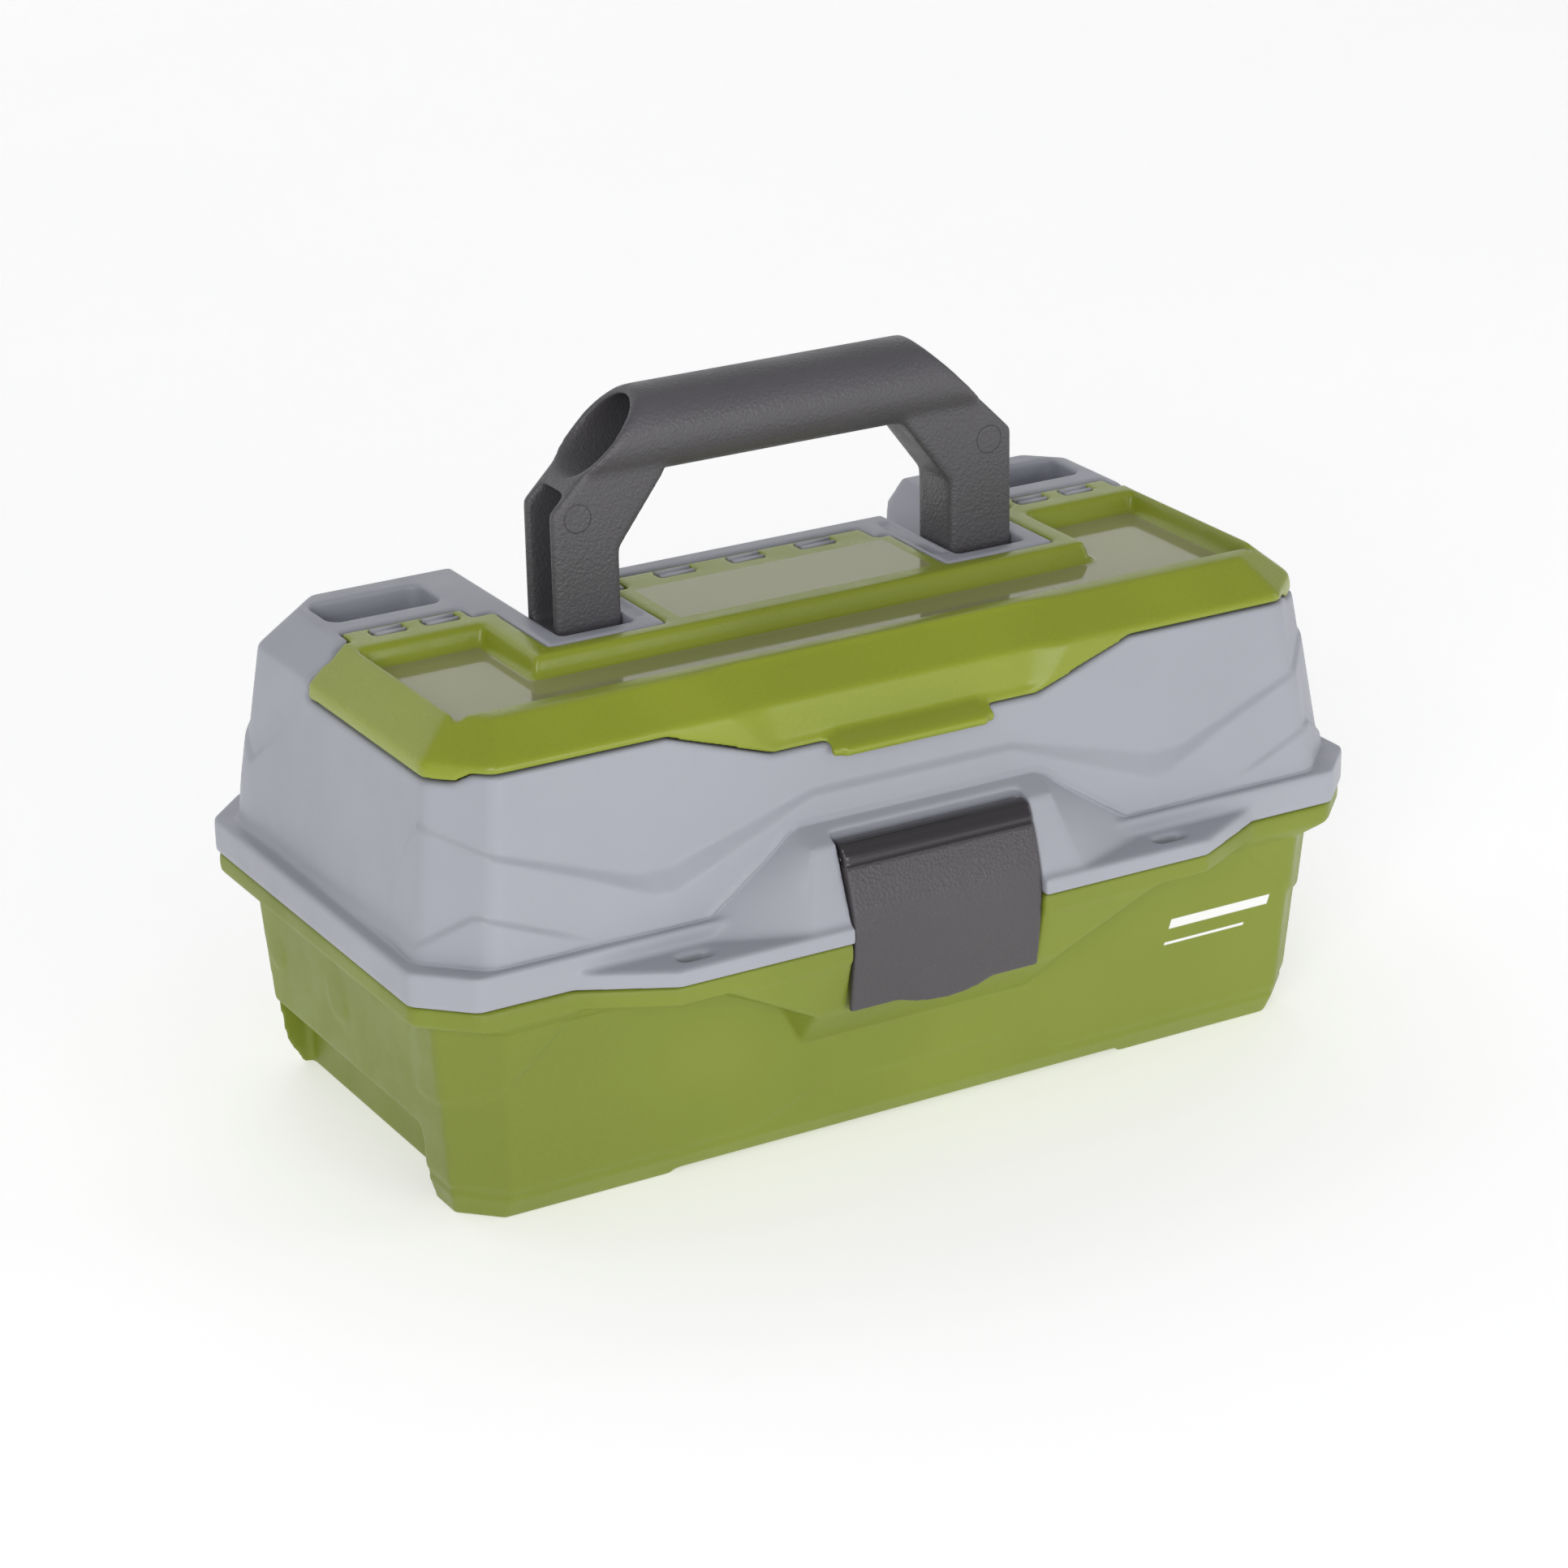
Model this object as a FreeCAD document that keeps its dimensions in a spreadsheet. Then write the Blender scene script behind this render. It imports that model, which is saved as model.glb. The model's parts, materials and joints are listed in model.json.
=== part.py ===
"""Fishing tackle box: a moulded two-piece box with a hinged lid, a green top
cover, a folding carry handle, a front latch and a lift-out cantilever tray.

Axes: X along the length, Y towards the back, Z up.  Z = 0 is the ground under
the feet and X = 0 is the middle of the length.  All values are millimetres.
"""

import FreeCAD
import Part
import Sketcher
import os
import re

doc = FreeCAD.newDocument("tackle_box")

# ------------------------------------------------------------------ values

VALUES = {
    # rim where lid and base meet
    "rim_x": 180.0,
    "rim_y": 92.4,
    "rim_chamfer": 17.0,
    "rim_low": 82.4,
    "rim_top": 94.4,
    "seam_gap": 0.3,
    # lid body
    "lid_x": 173.0,
    "lid_y": 87.0,
    "lid_chamfer": 17.0,
    "shoulder_x": 165.0,
    "shoulder_front": 79.5,
    "shoulder_back": 80.5,
    "shoulder_z": 157.0,
    "top_x": 152.0,
    "top_front": 66.0,
    "top_back": 69.8,
    "top_chamfer": 11.0,
    "top_z": 168.6,
    "lid_wall": 2.4,
    "ceiling_z": 136.0,
    "floor_z": 138.4,
    # front bulge of the rim and the latch boss
    "bulge_y": 108.0,
    "bulge_x": 101.0,
    "bulge_root_x": 131.0,
    "ledge_z": 88.3,
    "boss_top_z": 113.0,
    "boss_top_x": 45.0,
    # base
    "base_low_x": 161.0,
    "base_low_y": 74.5,
    "base_low_chamfer": 12.0,
    "skirt_z": 10.0,
    "skirt_x": 164.0,
    "skirt_y": 80.5,
    "skirt_chamfer": 15.0,
    "neck_z": 71.0,
    "neck_x": 168.5,
    "neck_y": 86.5,
    "flange_z": 75.6,
    "base_wall": 2.6,
    "base_floor_z": 4.6,
    "foot_x": 87.7,
    "foot_lift": 1.8,
    "carry_front": 48.0,
    "carry_back": 68.0,
    "carry_z": 27.0,
    "carry_x": 152.0,
    # rear hinge
    "hinge_y": 99.6,
    "hinge_z": 82.4,
    "knuckle_r": 4.6,
    "hinge_pin_r": 1.5,
    "hinge_x": 85.0,
    "hinge_run": 12.0,
    "hinge_mid": 26.0,
    # handle
    "grip_y": 5.3,
    "grip_z": 228.2,
    "grip_r": 14.7,
    "grip_bore_r": 11.8,
    "pivot_z": 154.0,
    "leg_in": 63.4,
    "leg_out": 88.1,
    "leg_half": 11.0,
    "slant_sum": 295.4,
    "handle_pin_r": 3.0,
    "channel_in": 62.5,
    "channel_out": 89.5,
    "channel_front": 11.5,
    "trough_front": 38.7,
    # collars around the handle legs
    "collar_in": 54.3,
    "collar_out": 97.1,
    "collar_front": 18.0,
    "cover_gap": 0.35,
    # cover
    "cover_wall": 2.2,
    "cover_back": 20.6,
    "cover_end_back": 22.0,
    "cover_mid_back": 18.6,
    "seam_side": 151.5,
    "seam_front": 154.4,
    "seam_low": 141.9,
    "seam_ramp_out": 87.6,
    "seam_ramp_in": 50.5,
    "recess_z": 161.6,
    "recess_front": 57.0,
    "recess_back": 27.0,
    "recess_x": 149.0,
    "recess_in": 107.5,
    "recess_end": 11.0,
    "cover_axis_y": 25.2,
    "cover_axis_z": 166.0,
    "cover_pin_r": 1.0,
    # latch
    "latch_x": 35.8,
    "latch_y": 95.0,
    "latch_z": 107.0,
    "latch_pin_r": 1.5,
    # pockets on the end blocks
    "pocket_in": 106.5,
    "pocket_out": 147.5,
    "pocket_front": 40.5,
    "pocket_back": 61.0,
    "pocket_z": 153.6,
    # padlock slots
    "lock_x": 90.7,
    "lock_y": 99.1,
    "lock_long": 12.0,
    "lock_wide": 5.6,
    # lift-out tray and its arms
    "tray_x": 150.5,
    "tray_front": 76.0,
    "tray_back": 58.0,
    "tray_low": 52.0,
    "tray_top": 92.0,
    "tray_wall": 2.0,
    "arm_dy": 59.2,
    "arm_dz": 10.0,
    "rear_arm_y": 62.0,
    "front_arm_y": 9.0,
    "arm_z": 50.0,
    "mark_rear_y": 58.5,
    "mark_front_y": 9.0,
    "arm_in": 154.4,
    "arm_t": 2.4,
    "arm_half": 3.5,
    "rivet_r": 1.8,
    "run_gap": 0.05,
}

sheet = doc.addObject("Spreadsheet::Sheet", "Sizes")
row = 1
for alias, value in VALUES.items():
    sheet.set("A%d" % row, alias)
    sheet.set("B%d" % row, str(value))
    sheet.setAlias("B%d" % row, alias)
    row = row + 1
doc.recompute()

WORD = re.compile(r"[a-z][a-z_]*[a-z]")


def full(expr):
    """Spell an expression of aliases with the sheet's name in front."""
    text = str(expr)
    return WORD.sub(lambda m: "Sizes." + m.group(0) if m.group(0) in VALUES else m.group(0), text)


def num(expr):
    return float(sheet.evalExpression(full(expr)))


def times(sign, expr):
    """The expression, mirrored when sign is -1."""
    return "%d * (%s)" % (sign, expr)


def bind(obj, prop, expr):
    obj.setExpression(prop, full(expr))


def place(obj, x, y, z):
    for letter, expr in zip("xyz", (x, y, z)):
        bind(obj, "Placement.Base." + letter, expr)
    return obj


# ------------------------------------------------------------------ makers


def box(name, x0, x1, y0, y1, z0, z1):
    """A box between six coordinates; x0 may be larger than x1."""
    if num(x0) > num(x1):
        x0, x1 = x1, x0
    obj = doc.addObject("Part::Box", name)
    bind(obj, "Length", "(%s) - (%s)" % (x1, x0))
    bind(obj, "Width", "(%s) - (%s)" % (y1, y0))
    bind(obj, "Height", "(%s) - (%s)" % (z1, z0))
    return place(obj, x0, y0, z0)


def rod(name, radius, x0, x1, y, z):
    """A cylinder along X."""
    if num(x0) > num(x1):
        x0, x1 = x1, x0
    obj = doc.addObject("Part::Cylinder", name)
    bind(obj, "Radius", radius)
    bind(obj, "Height", "(%s) - (%s)" % (x1, x0))
    obj.Placement.Rotation = FreeCAD.Rotation(FreeCAD.Vector(0, 1, 0), 90)
    return place(obj, x0, y, z)


def post(name, radius, x, y, z0, z1):
    """A cylinder along Z."""
    obj = doc.addObject("Part::Cylinder", name)
    bind(obj, "Radius", radius)
    bind(obj, "Height", "(%s) - (%s)" % (z1, z0))
    return place(obj, x, y, z0)


TURNS = {
    "xy": FreeCAD.Rotation(0, 0, 0, 1),
    "xz": FreeCAD.Rotation(FreeCAD.Vector(1, 0, 0), 90),
    "yz": FreeCAD.Rotation(FreeCAD.Vector(1, 1, 1), 120),
}


def outline(name, plane, level, points):
    """A closed polygon sketch; every corner is bound to the sheet."""
    sketch = doc.addObject("Sketcher::SketchObject", name)
    count = len(points)
    flat = [FreeCAD.Vector(num(a), num(b), 0) for a, b in points]
    lines = [Part.LineSegment(flat[i], flat[(i + 1) % count]) for i in range(count)]
    sketch.addGeometry(lines, False)
    rules = [Sketcher.Constraint("Coincident", i, 2, (i + 1) % count, 1) for i in range(count)]
    for i in range(count):
        rules.append(Sketcher.Constraint("DistanceX", -1, 1, i, 1, flat[i].x))
        rules.append(Sketcher.Constraint("DistanceY", -1, 1, i, 1, flat[i].y))
    sketch.addConstraint(rules)
    for i, (a, b) in enumerate(points):
        bind(sketch, "Constraints[%d]" % (count + 2 * i), a)
        bind(sketch, "Constraints[%d]" % (count + 2 * i + 1), b)
    sketch.Placement.Rotation = TURNS[plane]
    spots = {"xy": ("0", "0", level), "xz": ("0", level, "0"), "yz": (level, "0", "0")}
    return place(sketch, *spots[plane])


def prism(name, plane, low, high, points):
    """A polygon pushed between two levels of the axis normal to its plane."""
    start = high if plane == "xz" else low
    sketch = outline(name + "_outline", plane, start, points)
    obj = doc.addObject("Part::Extrusion", name)
    obj.Base = sketch
    obj.DirMode = "Normal"
    obj.Solid = True
    bind(obj, "LengthFwd", "(%s) - (%s)" % (high, low))
    return obj


def loft(name, sections):
    obj = doc.addObject("Part::Loft", name)
    obj.Sections = sections
    obj.Solid = True
    obj.Ruled = True
    return obj


def fuse(name, shapes, refine=True):
    obj = doc.addObject("Part::MultiFuse", name)
    obj.Shapes = shapes
    obj.Refine = refine
    return obj


def common(name, shapes):
    obj = doc.addObject("Part::MultiCommon", name)
    obj.Shapes = shapes
    obj.Refine = True
    return obj


def cut(name, base, tool):
    obj = doc.addObject("Part::Cut", name)
    obj.Base = base
    obj.Tool = tool
    obj.Refine = True
    return obj


def octagon(x, front, back, c):
    """Corners of a rectangle with all four corners cut at 45 degrees."""
    return [
        ("(%s) - (%s)" % (x, c), "-(%s)" % front),
        (x, "(%s) - (%s)" % (c, front)),
        (x, "(%s) - (%s)" % (back, c)),
        ("(%s) - (%s)" % (x, c), back),
        ("(%s) - (%s)" % (c, x), back),
        ("-(%s)" % x, "(%s) - (%s)" % (back, c)),
        ("-(%s)" % x, "(%s) - (%s)" % (c, front)),
        ("(%s) - (%s)" % (c, x), "-(%s)" % front),
    ]


def upright_edges(shape, least):
    """Names of the edges that mostly climb, longer than least."""
    names = []
    for i, edge in enumerate(shape.Edges):
        if len(edge.Vertexes) < 2:
            continue
        run = edge.Vertexes[1].Point - edge.Vertexes[0].Point
        if abs(run.z) > least and abs(run.z) > 0.8 * run.Length:
            names.append(i + 1)
    return names


def rounded(name, base, radius, pick):
    """Fillet the edges that pick chooses from the base's shape."""
    doc.recompute()
    obj = doc.addObject("Part::Fillet", name)
    obj.Base = base
    obj.Edges = [(n, radius, radius) for n in pick(base.Shape)]
    return obj


# ------------------------------------------------------------------ lid body


def lid_form(name, grow, low="rim_top"):
    """The lid's outside form, grown (or shrunk) evenly by grow."""
    stages = [
        (low, "lid_x", "lid_y", "lid_y", "lid_chamfer"),
        ("shoulder_z", "shoulder_x", "shoulder_front", "shoulder_back", "lid_chamfer"),
        ("top_z", "top_x", "top_front", "top_back", "top_chamfer"),
    ]
    sections = []
    for i, (z, x, front, back, c) in enumerate(stages):
        z = "%s + %s" % (z, grow) if i == 2 else z
        corners = octagon(
            "%s + %s" % (x, grow),
            "%s + %s" % (front, grow),
            "%s + %s" % (back, grow),
            "%s + 0.586 * (%s)" % (c, grow),
        )
        sections.append(outline("%s_%d" % (name, i), "xy", z, corners))
    form = loft(name + "_form", sections)
    return rounded(name, form, 7.0, lambda s: upright_edges(s, 8.0))


def bulge_plate(name, low, high, y):
    return prism(
        name,
        "xy",
        low,
        high,
        [
            ("-bulge_root_x", "-88"),
            ("-bulge_root_x", "-rim_y + 0.6"),
            ("-bulge_x", y),
            ("bulge_x", y),
            ("bulge_root_x", "-rim_y + 0.6"),
            ("bulge_root_x", "-88"),
        ],
    )


def lock_slots(name, low, high):
    """Two rounded slots through the front bulge for a padlock."""
    parts = []
    for side, tag in ((-1, "left"), (1, "right")):
        half = "(lock_long - lock_wide) / 2"
        centre = times(side, "lock_x")
        parts.append(
            box(
                "%s_%s" % (name, tag),
                "%s - %s" % (centre, half),
                "%s + %s" % (centre, half),
                "-lock_y - lock_wide / 2",
                "-lock_y + lock_wide / 2",
                low,
                high,
            )
        )
        for end in (-1, 1):
            spot = "%s + %d * %s" % (centre, end, half)
            tip = "%s_%s_%d" % (name, tag, end + 1)
            parts.append(post(tip, "lock_wide / 2", spot, "-lock_y", low, high))
    return parts


envelope = lid_form("lid_envelope", "0")

rim_ring = prism(
    "lid_rim", "xy", "rim_low", "rim_top", octagon("rim_x", "rim_y", "rim_y", "rim_chamfer")
)
rim_soft = rounded("lid_rim_soft", rim_ring, 6.0, lambda s: upright_edges(s, 8.0))

lid_bulge = bulge_plate("lid_bulge", "rim_low", "ledge_z", "-bulge_y")

boss_low = outline(
    "lid_boss_low",
    "xy",
    "rim_low",
    [
        ("-99", "-84"),
        ("-99", "-90"),
        ("-53", "-bulge_y"),
        ("53", "-bulge_y"),
        ("99", "-90"),
        ("99", "-84"),
    ],
)
boss_high = outline(
    "lid_boss_high",
    "xy",
    "boss_top_z",
    [
        ("-boss_top_x - 12", "-80"),
        ("-boss_top_x - 8", "-85"),
        ("-boss_top_x", "-96.4"),
        ("boss_top_x", "-96.4"),
        ("boss_top_x + 8", "-85"),
        ("boss_top_x + 12", "-80"),
    ],
)
boss_crown = outline(
    "lid_boss_crown",
    "xy",
    "boss_top_z + 5.5",
    [
        ("-boss_top_x - 9", "-79"),
        ("-boss_top_x - 6", "-81.5"),
        ("-boss_top_x + 1", "-83.4"),
        ("boss_top_x - 1", "-83.4"),
        ("boss_top_x + 6", "-81.5"),
        ("boss_top_x + 9", "-79"),
    ],
)
lid_boss = loft("lid_boss", [boss_low, boss_high, boss_crown])

lid_outside = fuse("lid_outside", [envelope, rim_soft, lid_bulge, lid_boss])


# space that the cover takes from the lid
def seam_region(name, drop, back):
    """Everything above the cover's lower edge, in front of a back plane."""
    return prism(
        name,
        "xz",
        "-130",
        back,
        [
            ("-200", "seam_side - %s" % drop),
            ("-158", "seam_side - %s" % drop),
            ("-153", "seam_front - %s" % drop),
            ("-seam_ramp_out", "seam_front - %s" % drop),
            ("-seam_ramp_in", "seam_low - %s" % drop),
            ("seam_ramp_in", "seam_low - %s" % drop),
            ("seam_ramp_out", "seam_front - %s" % drop),
            ("153", "seam_front - %s" % drop),
            ("158", "seam_side - %s" % drop),
            ("200", "seam_side - %s" % drop),
            ("200", "190"),
            ("-200", "190"),
        ],
    )


def cover_plan(name, gap, low, high):
    """The cover's plan outline, grown by gap: two wings and a middle wing."""
    g = gap
    points = [
        ("-190", "-125"),
        ("190", "-125"),
        ("190", "cover_end_back + %s" % g),
        ("160 + %s" % g, "cover_end_back + %s" % g),
        ("158", "cover_back + %s" % g),
        ("collar_out + cover_gap - %s" % g, "cover_back + %s" % g),
        ("collar_out + cover_gap - %s" % g, "-collar_front - cover_gap + %s" % g),
        ("collar_in - cover_gap + %s" % g, "-collar_front - cover_gap + %s" % g),
        ("collar_in - cover_gap + %s" % g, "cover_mid_back + %s" % g),
    ]
    left = []
    for a, b in reversed(points[2:]):
        left.append(("-(%s)" % a, b))
    return prism(name, "xy", low, high, points + left)


cover_space = common(
    "cover_space",
    [
        seam_region("cover_space_seam", "cover_gap", "60"),
        cover_plan("cover_space_plan", "cover_gap", "120", "189"),
    ],
)

# hinge windows behind the cover: (inner x, outer x, fingers)
TABS = {
    "left": (-149.0, -105.6, ((-140.4, -128.5), (-121.6, -109.3))),
    "middle": (-48.0, 48.0, ((-34.5, -20.5), (-6.5, 6.5), (20.5, 34.5))),
    "right": (105.6, 149.0, ((109.3, 121.6), (128.5, 140.4))),
}

lid_cuts = [cover_space]
lid_adds = []
# room for the cover's rear edge as it swings
lid_cuts.append(
    box(
        "swing_middle",
        "cover_gap - collar_in",
        "collar_in - cover_gap",
        "cover_mid_back",
        "cover_mid_back + 1.3",
        "cover_axis_z - 0.5",
        "189",
    )
)
for side, tag in ((-1, "left"), (1, "right")):
    lid_cuts.append(
        box(
            "swing_" + tag,
            times(side, "collar_out"),
            times(side, "159"),
            "cover_back",
            "cover_back + 1.7",
            "cover_axis_z - 1.5",
            "189",
        )
    )
    lid_cuts.append(
        box(
            "swing_end_" + tag,
            times(side, "150"),
            times(side, "185"),
            "cover_end_back",
            "cover_end_back + 1.1",
            "152",
            "189",
        )
    )
for tag, (x0, x1, fingers) in TABS.items():
    lid_cuts.append(
        box(
            "tab_window_" + tag,
            "%s - 0.6" % x0,
            "%s + 0.6" % x1,
            "14",
            "cover_axis_y + 5.6",
            "cover_axis_z - 5.6",
            "189",
        )
    )
    for i, (a, b) in enumerate(fingers):
        name = "finger_%s_%d" % (tag, i)
        a = "%s + 0.5" % a
        b = "%s - 0.5" % b
        eye = rod(name + "_eye", "2.1", a, b, "cover_axis_y", "cover_axis_z")
        stem = box(
            name + "_stem",
            a,
            b,
            "cover_axis_y - 1.2",
            "cover_axis_y + 1.2",
            "cover_axis_z - 6.6",
            "cover_axis_z",
        )
        lid_adds.append(eye)
        lid_adds.append(stem)

# channels for the handle's legs, and the trough for the folded grip
for side, tag in ((-1, "left"), (1, "right")):
    lid_cuts.append(
        box(
            "leg_channel_" + tag,
            times(side, "channel_in"),
            times(side, "channel_out"),
            "-channel_front",
            "120",
            "floor_z",
            "189",
        )
    )
    lid_cuts.append(
        box(
            "collar_groove_" + tag,
            times(side, "56.0"),
            times(side, "61.0"),
            "-8",
            "31",
            "top_z - 1.2",
            "189",
        )
    )
    pocket = box(
        "pocket_" + tag,
        times(side, "pocket_in"),
        times(side, "pocket_out"),
        "pocket_front",
        "pocket_back",
        "pocket_z",
        "189",
    )
    lid_cuts.append(rounded("pocket_soft_" + tag, pocket, 4.5, lambda s: upright_edges(s, 10.0)))
    # wells under the cover's ends
    for part, xa, xb, ya, yb, soft in (
        ("end", "collar_out + 3.4", "157.5", "-72", "cover_back - 3.6", 8.0),
        ("front", "seam_ramp_in + 5.0", "collar_out + 1.0", "-74", "-collar_front - 3.4", 4.0),
    ):
        well = box(
            "well_%s_%s" % (part, tag),
            times(side, xa),
            times(side, xb),
            ya,
            yb,
            "floor_z",
            "189",
        )
        name = "well_soft_%s_%s" % (part, tag)
        lid_cuts.append(rounded(name, well, soft, lambda s: upright_edges(s, 10.0)))
lid_cuts.append(box("trough", "-channel_out", "channel_out", "trough_front", "120", "floor_z", "189"))
lid_cuts.append(
    box("well_middle", "-seam_ramp_in + 1", "seam_ramp_in - 1", "-74", "14", "floor_z", "189")
)

# hollow inside of the lid, open downwards
cavity_form = lid_form("lid_cavity_form", "-lid_wall")
cavity_low = box("lid_cavity_low", "-200", "200", "-120", "120", "rim_top - 0.01", "ceiling_z")
lid_cavity = common("lid_cavity", [cavity_form, cavity_low])
rim_hollow = prism(
    "lid_rim_hollow",
    "xy",
    "rim_low - 1",
    "rim_top",
    octagon("lid_x - lid_wall", "lid_y - lid_wall", "lid_y - lid_wall", "lid_chamfer - 1.4"),
)
lid_cuts.append(lid_cavity)
lid_cuts.append(rim_hollow)
for side, tag in ((-1, "left"), (1, "right")):
    lid_cuts.append(
        box(
            "end_block_hollow_" + tag,
            times(side, "channel_out + 3"),
            times(side, "150"),
            "cover_axis_y + 9",
            "shoulder_back - 8.5",
            "ceiling_z - 1",
            "pocket_z - lid_wall",
        )
    )

# recess for the latch, and the slots for a padlock
lid_cuts.append(
    box("latch_recess", "-latch_x - 0.5", "latch_x + 0.5", "-125", "-101.6", "60", "latch_z")
)
lid_cuts.append(
    rod("latch_recess_top", "6.4", "-latch_x - 0.5", "latch_x + 0.5", "-latch_y", "latch_z")
)
lid_cuts.append(
    prism(
        "latch_recess_slope",
        "yz",
        "-latch_x - 0.5",
        "latch_x + 0.5",
        [
            ("-101.6", "rim_low - 2"),
            ("-101.6", "92"),
            ("-latch_y + 5.0", "latch_z - 4"),
            ("-latch_y + 5.0", "latch_z + 8"),
            ("-125", "latch_z + 8"),
            ("-125", "rim_low - 2"),
        ],
    )
)
lid_cuts.extend(lock_slots("lid_lock_slot", "60", "110"))
# shallow rebate under the cover's pull tab
lid_cuts.append(box("pull_rebate", "-31.2", "31.2", "-100", "-82.6", "131", "seam_low + 4"))

lid_open = cut("lid_open", lid_outside, fuse("lid_cuts", lid_cuts, False))

# hinge knuckles and the lugs that carry the tray's front
for side, tag in ((-1, "left"), (1, "right")):
    start = "hinge_x + hinge_run + 0.4"
    end = "hinge_x + hinge_run + hinge_mid - 0.4"
    lid_adds.append(
        rod(
            "lid_knuckle_" + tag,
            "knuckle_r",
            times(side, start),
            times(side, end),
            "hinge_y",
            "hinge_z",
        )
    )
    lid_adds.append(
        box(
            "lid_knuckle_web_" + tag,
            times(side, start),
            times(side, end),
            "rim_y - 4",
            "hinge_y",
            "hinge_z",
            "hinge_z + knuckle_r",
        )
    )
lid_full = fuse("lid_full", [lid_open] + lid_adds)

lid_bores = []
for side, tag in ((-1, "left"), (1, "right")):
    lid_bores.append(
        rod(
            "lid_hinge_bore_" + tag,
            "hinge_pin_r + run_gap",
            times(side, "hinge_x"),
            times(side, "hinge_x + 2 * hinge_run + hinge_mid"),
            "hinge_y",
            "hinge_z",
        )
    )
    lid_bores.append(
        rod(
            "lid_handle_bore_" + tag,
            "handle_pin_r",
            times(side, "channel_in - 6"),
            times(side, "channel_out + 6"),
            "grip_y",
            "pivot_z",
        )
    )
    lid_bores.append(
        rod(
            "lid_tray_bore_" + tag,
            "rivet_r",
            times(side, "lid_x - lid_wall - 1"),
            times(side, "lid_x + 1.0"),
            "hinge_y - arm_dy",
            "hinge_z + arm_dz",
        )
    )
lid_bores.append(
    rod("lid_latch_bore", "latch_pin_r", "-latch_x - 5", "latch_x + 5", "-latch_y", "latch_z")
)
for tag, (x0, x1, fingers) in TABS.items():
    lid_bores.append(
        rod(
            "lid_cover_bore_" + tag,
            "cover_pin_r",
            "%s + 0.5" % x0,
            "%s - 0.5" % x1,
            "cover_axis_y",
            "cover_axis_z",
        )
    )
lid_moulding = cut("lid_moulding", lid_full, fuse("lid_bores", lid_bores, False))
# the moulding is kept as simple pieces that meet face to face: the shell up to the
# floor of the wells, and the walls that stand on it
LID_ZONES = {
    "lid_shell": ("-200", "200", "-130", "130", "0", "floor_z"),
    "lid_front_wall": ("-200", "200", "-130", "-74", "floor_z", "200"),
    "lid_end_wall_left": ("-200", "-157.5", "-74", "cover_back - 3.6", "floor_z", "200"),
    "lid_end_wall_right": ("157.5", "200", "-74", "cover_back - 3.6", "floor_z", "200"),
    "lid_inner_walls": ("-157.5", "157.5", "-74", "cover_back - 3.6", "floor_z", "200"),
    "lid_trough_walls": ("-98.1", "98.1", "cover_back - 3.6", "130", "floor_z", "200"),
    "lid_block_left": ("-200", "-98.1", "cover_back - 3.6", "130", "floor_z", "200"),
    "lid_block_right": ("98.1", "200", "cover_back - 3.6", "130", "floor_z", "200"),
}
lid_pieces = [
    common(name, [lid_moulding, box(name + "_zone", *zone)]) for name, zone in LID_ZONES.items()
]

# ------------------------------------------------------------------ cover

cover_block = common(
    "cover_block",
    [
        lid_form("cover_outside", "0"),
        seam_region("cover_seam", "0", "60"),
        cover_plan("cover_outline", "0", "120", "188"),
    ],
)
cover_inner = common(
    "cover_inner",
    [
        lid_form("cover_inside", "-cover_wall"),
        seam_region("cover_inner_seam", "3", "60"),
        cover_plan("cover_inner_outline", "-cover_wall", "120", "188"),
    ],
)
cover_skin = cut("cover_skin", cover_block, cover_inner)


def recess_points(grow):
    """The U-shaped recess in the cover's top."""
    right = [
        ("recess_x + %s" % grow, "-recess_front - %s" % grow),
        ("recess_x + %s" % grow, "recess_end + %s" % grow),
        ("recess_in - %s" % grow, "recess_end + %s" % grow),
        ("recess_in - %s" % grow, "-recess_back + %s" % grow),
    ]
    left = [("-(%s)" % a, b) for a, b in reversed(right)]
    return right + left


recess_tub = common(
    "recess_tub",
    [
        prism("recess_tub_block", "xy", "recess_z - cover_wall", "188", recess_points("3.4")),
        lid_form("recess_limit", "0"),
    ],
)
recess_cut = loft(
    "recess_cut",
    [
        outline("recess_cut_low", "xy", "recess_z", recess_points("0")),
        outline("recess_cut_high", "xy", "top_z + 1", recess_points("2.4")),
    ],
)
cover_parts = [cover_skin, recess_tub]
cover_slots = [recess_cut]
for tag, (x0, x1, fingers) in TABS.items():
    back = "cover_mid_back - 2.2" if tag == "middle" else "cover_back - 2.2"
    cover_parts.append(
        box(
            "cover_tab_" + tag,
            str(x0),
            str(x1),
            back,
            "cover_axis_y + 4.3",
            "cover_axis_z - 2.6",
            "top_z",
        )
    )
    for i, (a, b) in enumerate(fingers):
        cover_slots.append(
            box(
                "cover_slot_%s_%d" % (tag, i),
                str(a),
                str(b),
                "cover_axis_y - 3.8",
                "cover_axis_y + 2.6",
                "cover_axis_z - 9",
                "189",
            )
        )
        cover_slots.append(
            box(
                "cover_slot_low_%s_%d" % (tag, i),
                str(a),
                str(b),
                "cover_axis_y - 3.8",
                "cover_axis_y + 9",
                "cover_axis_z - 9",
                "cover_axis_z",
            )
        )
    cover_slots.append(
        rod(
            "cover_bore_" + tag,
            "cover_pin_r + run_gap",
            "%s - 1" % x0,
            "%s + 1" % x1,
            "cover_axis_y",
            "cover_axis_z",
        )
    )

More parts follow.
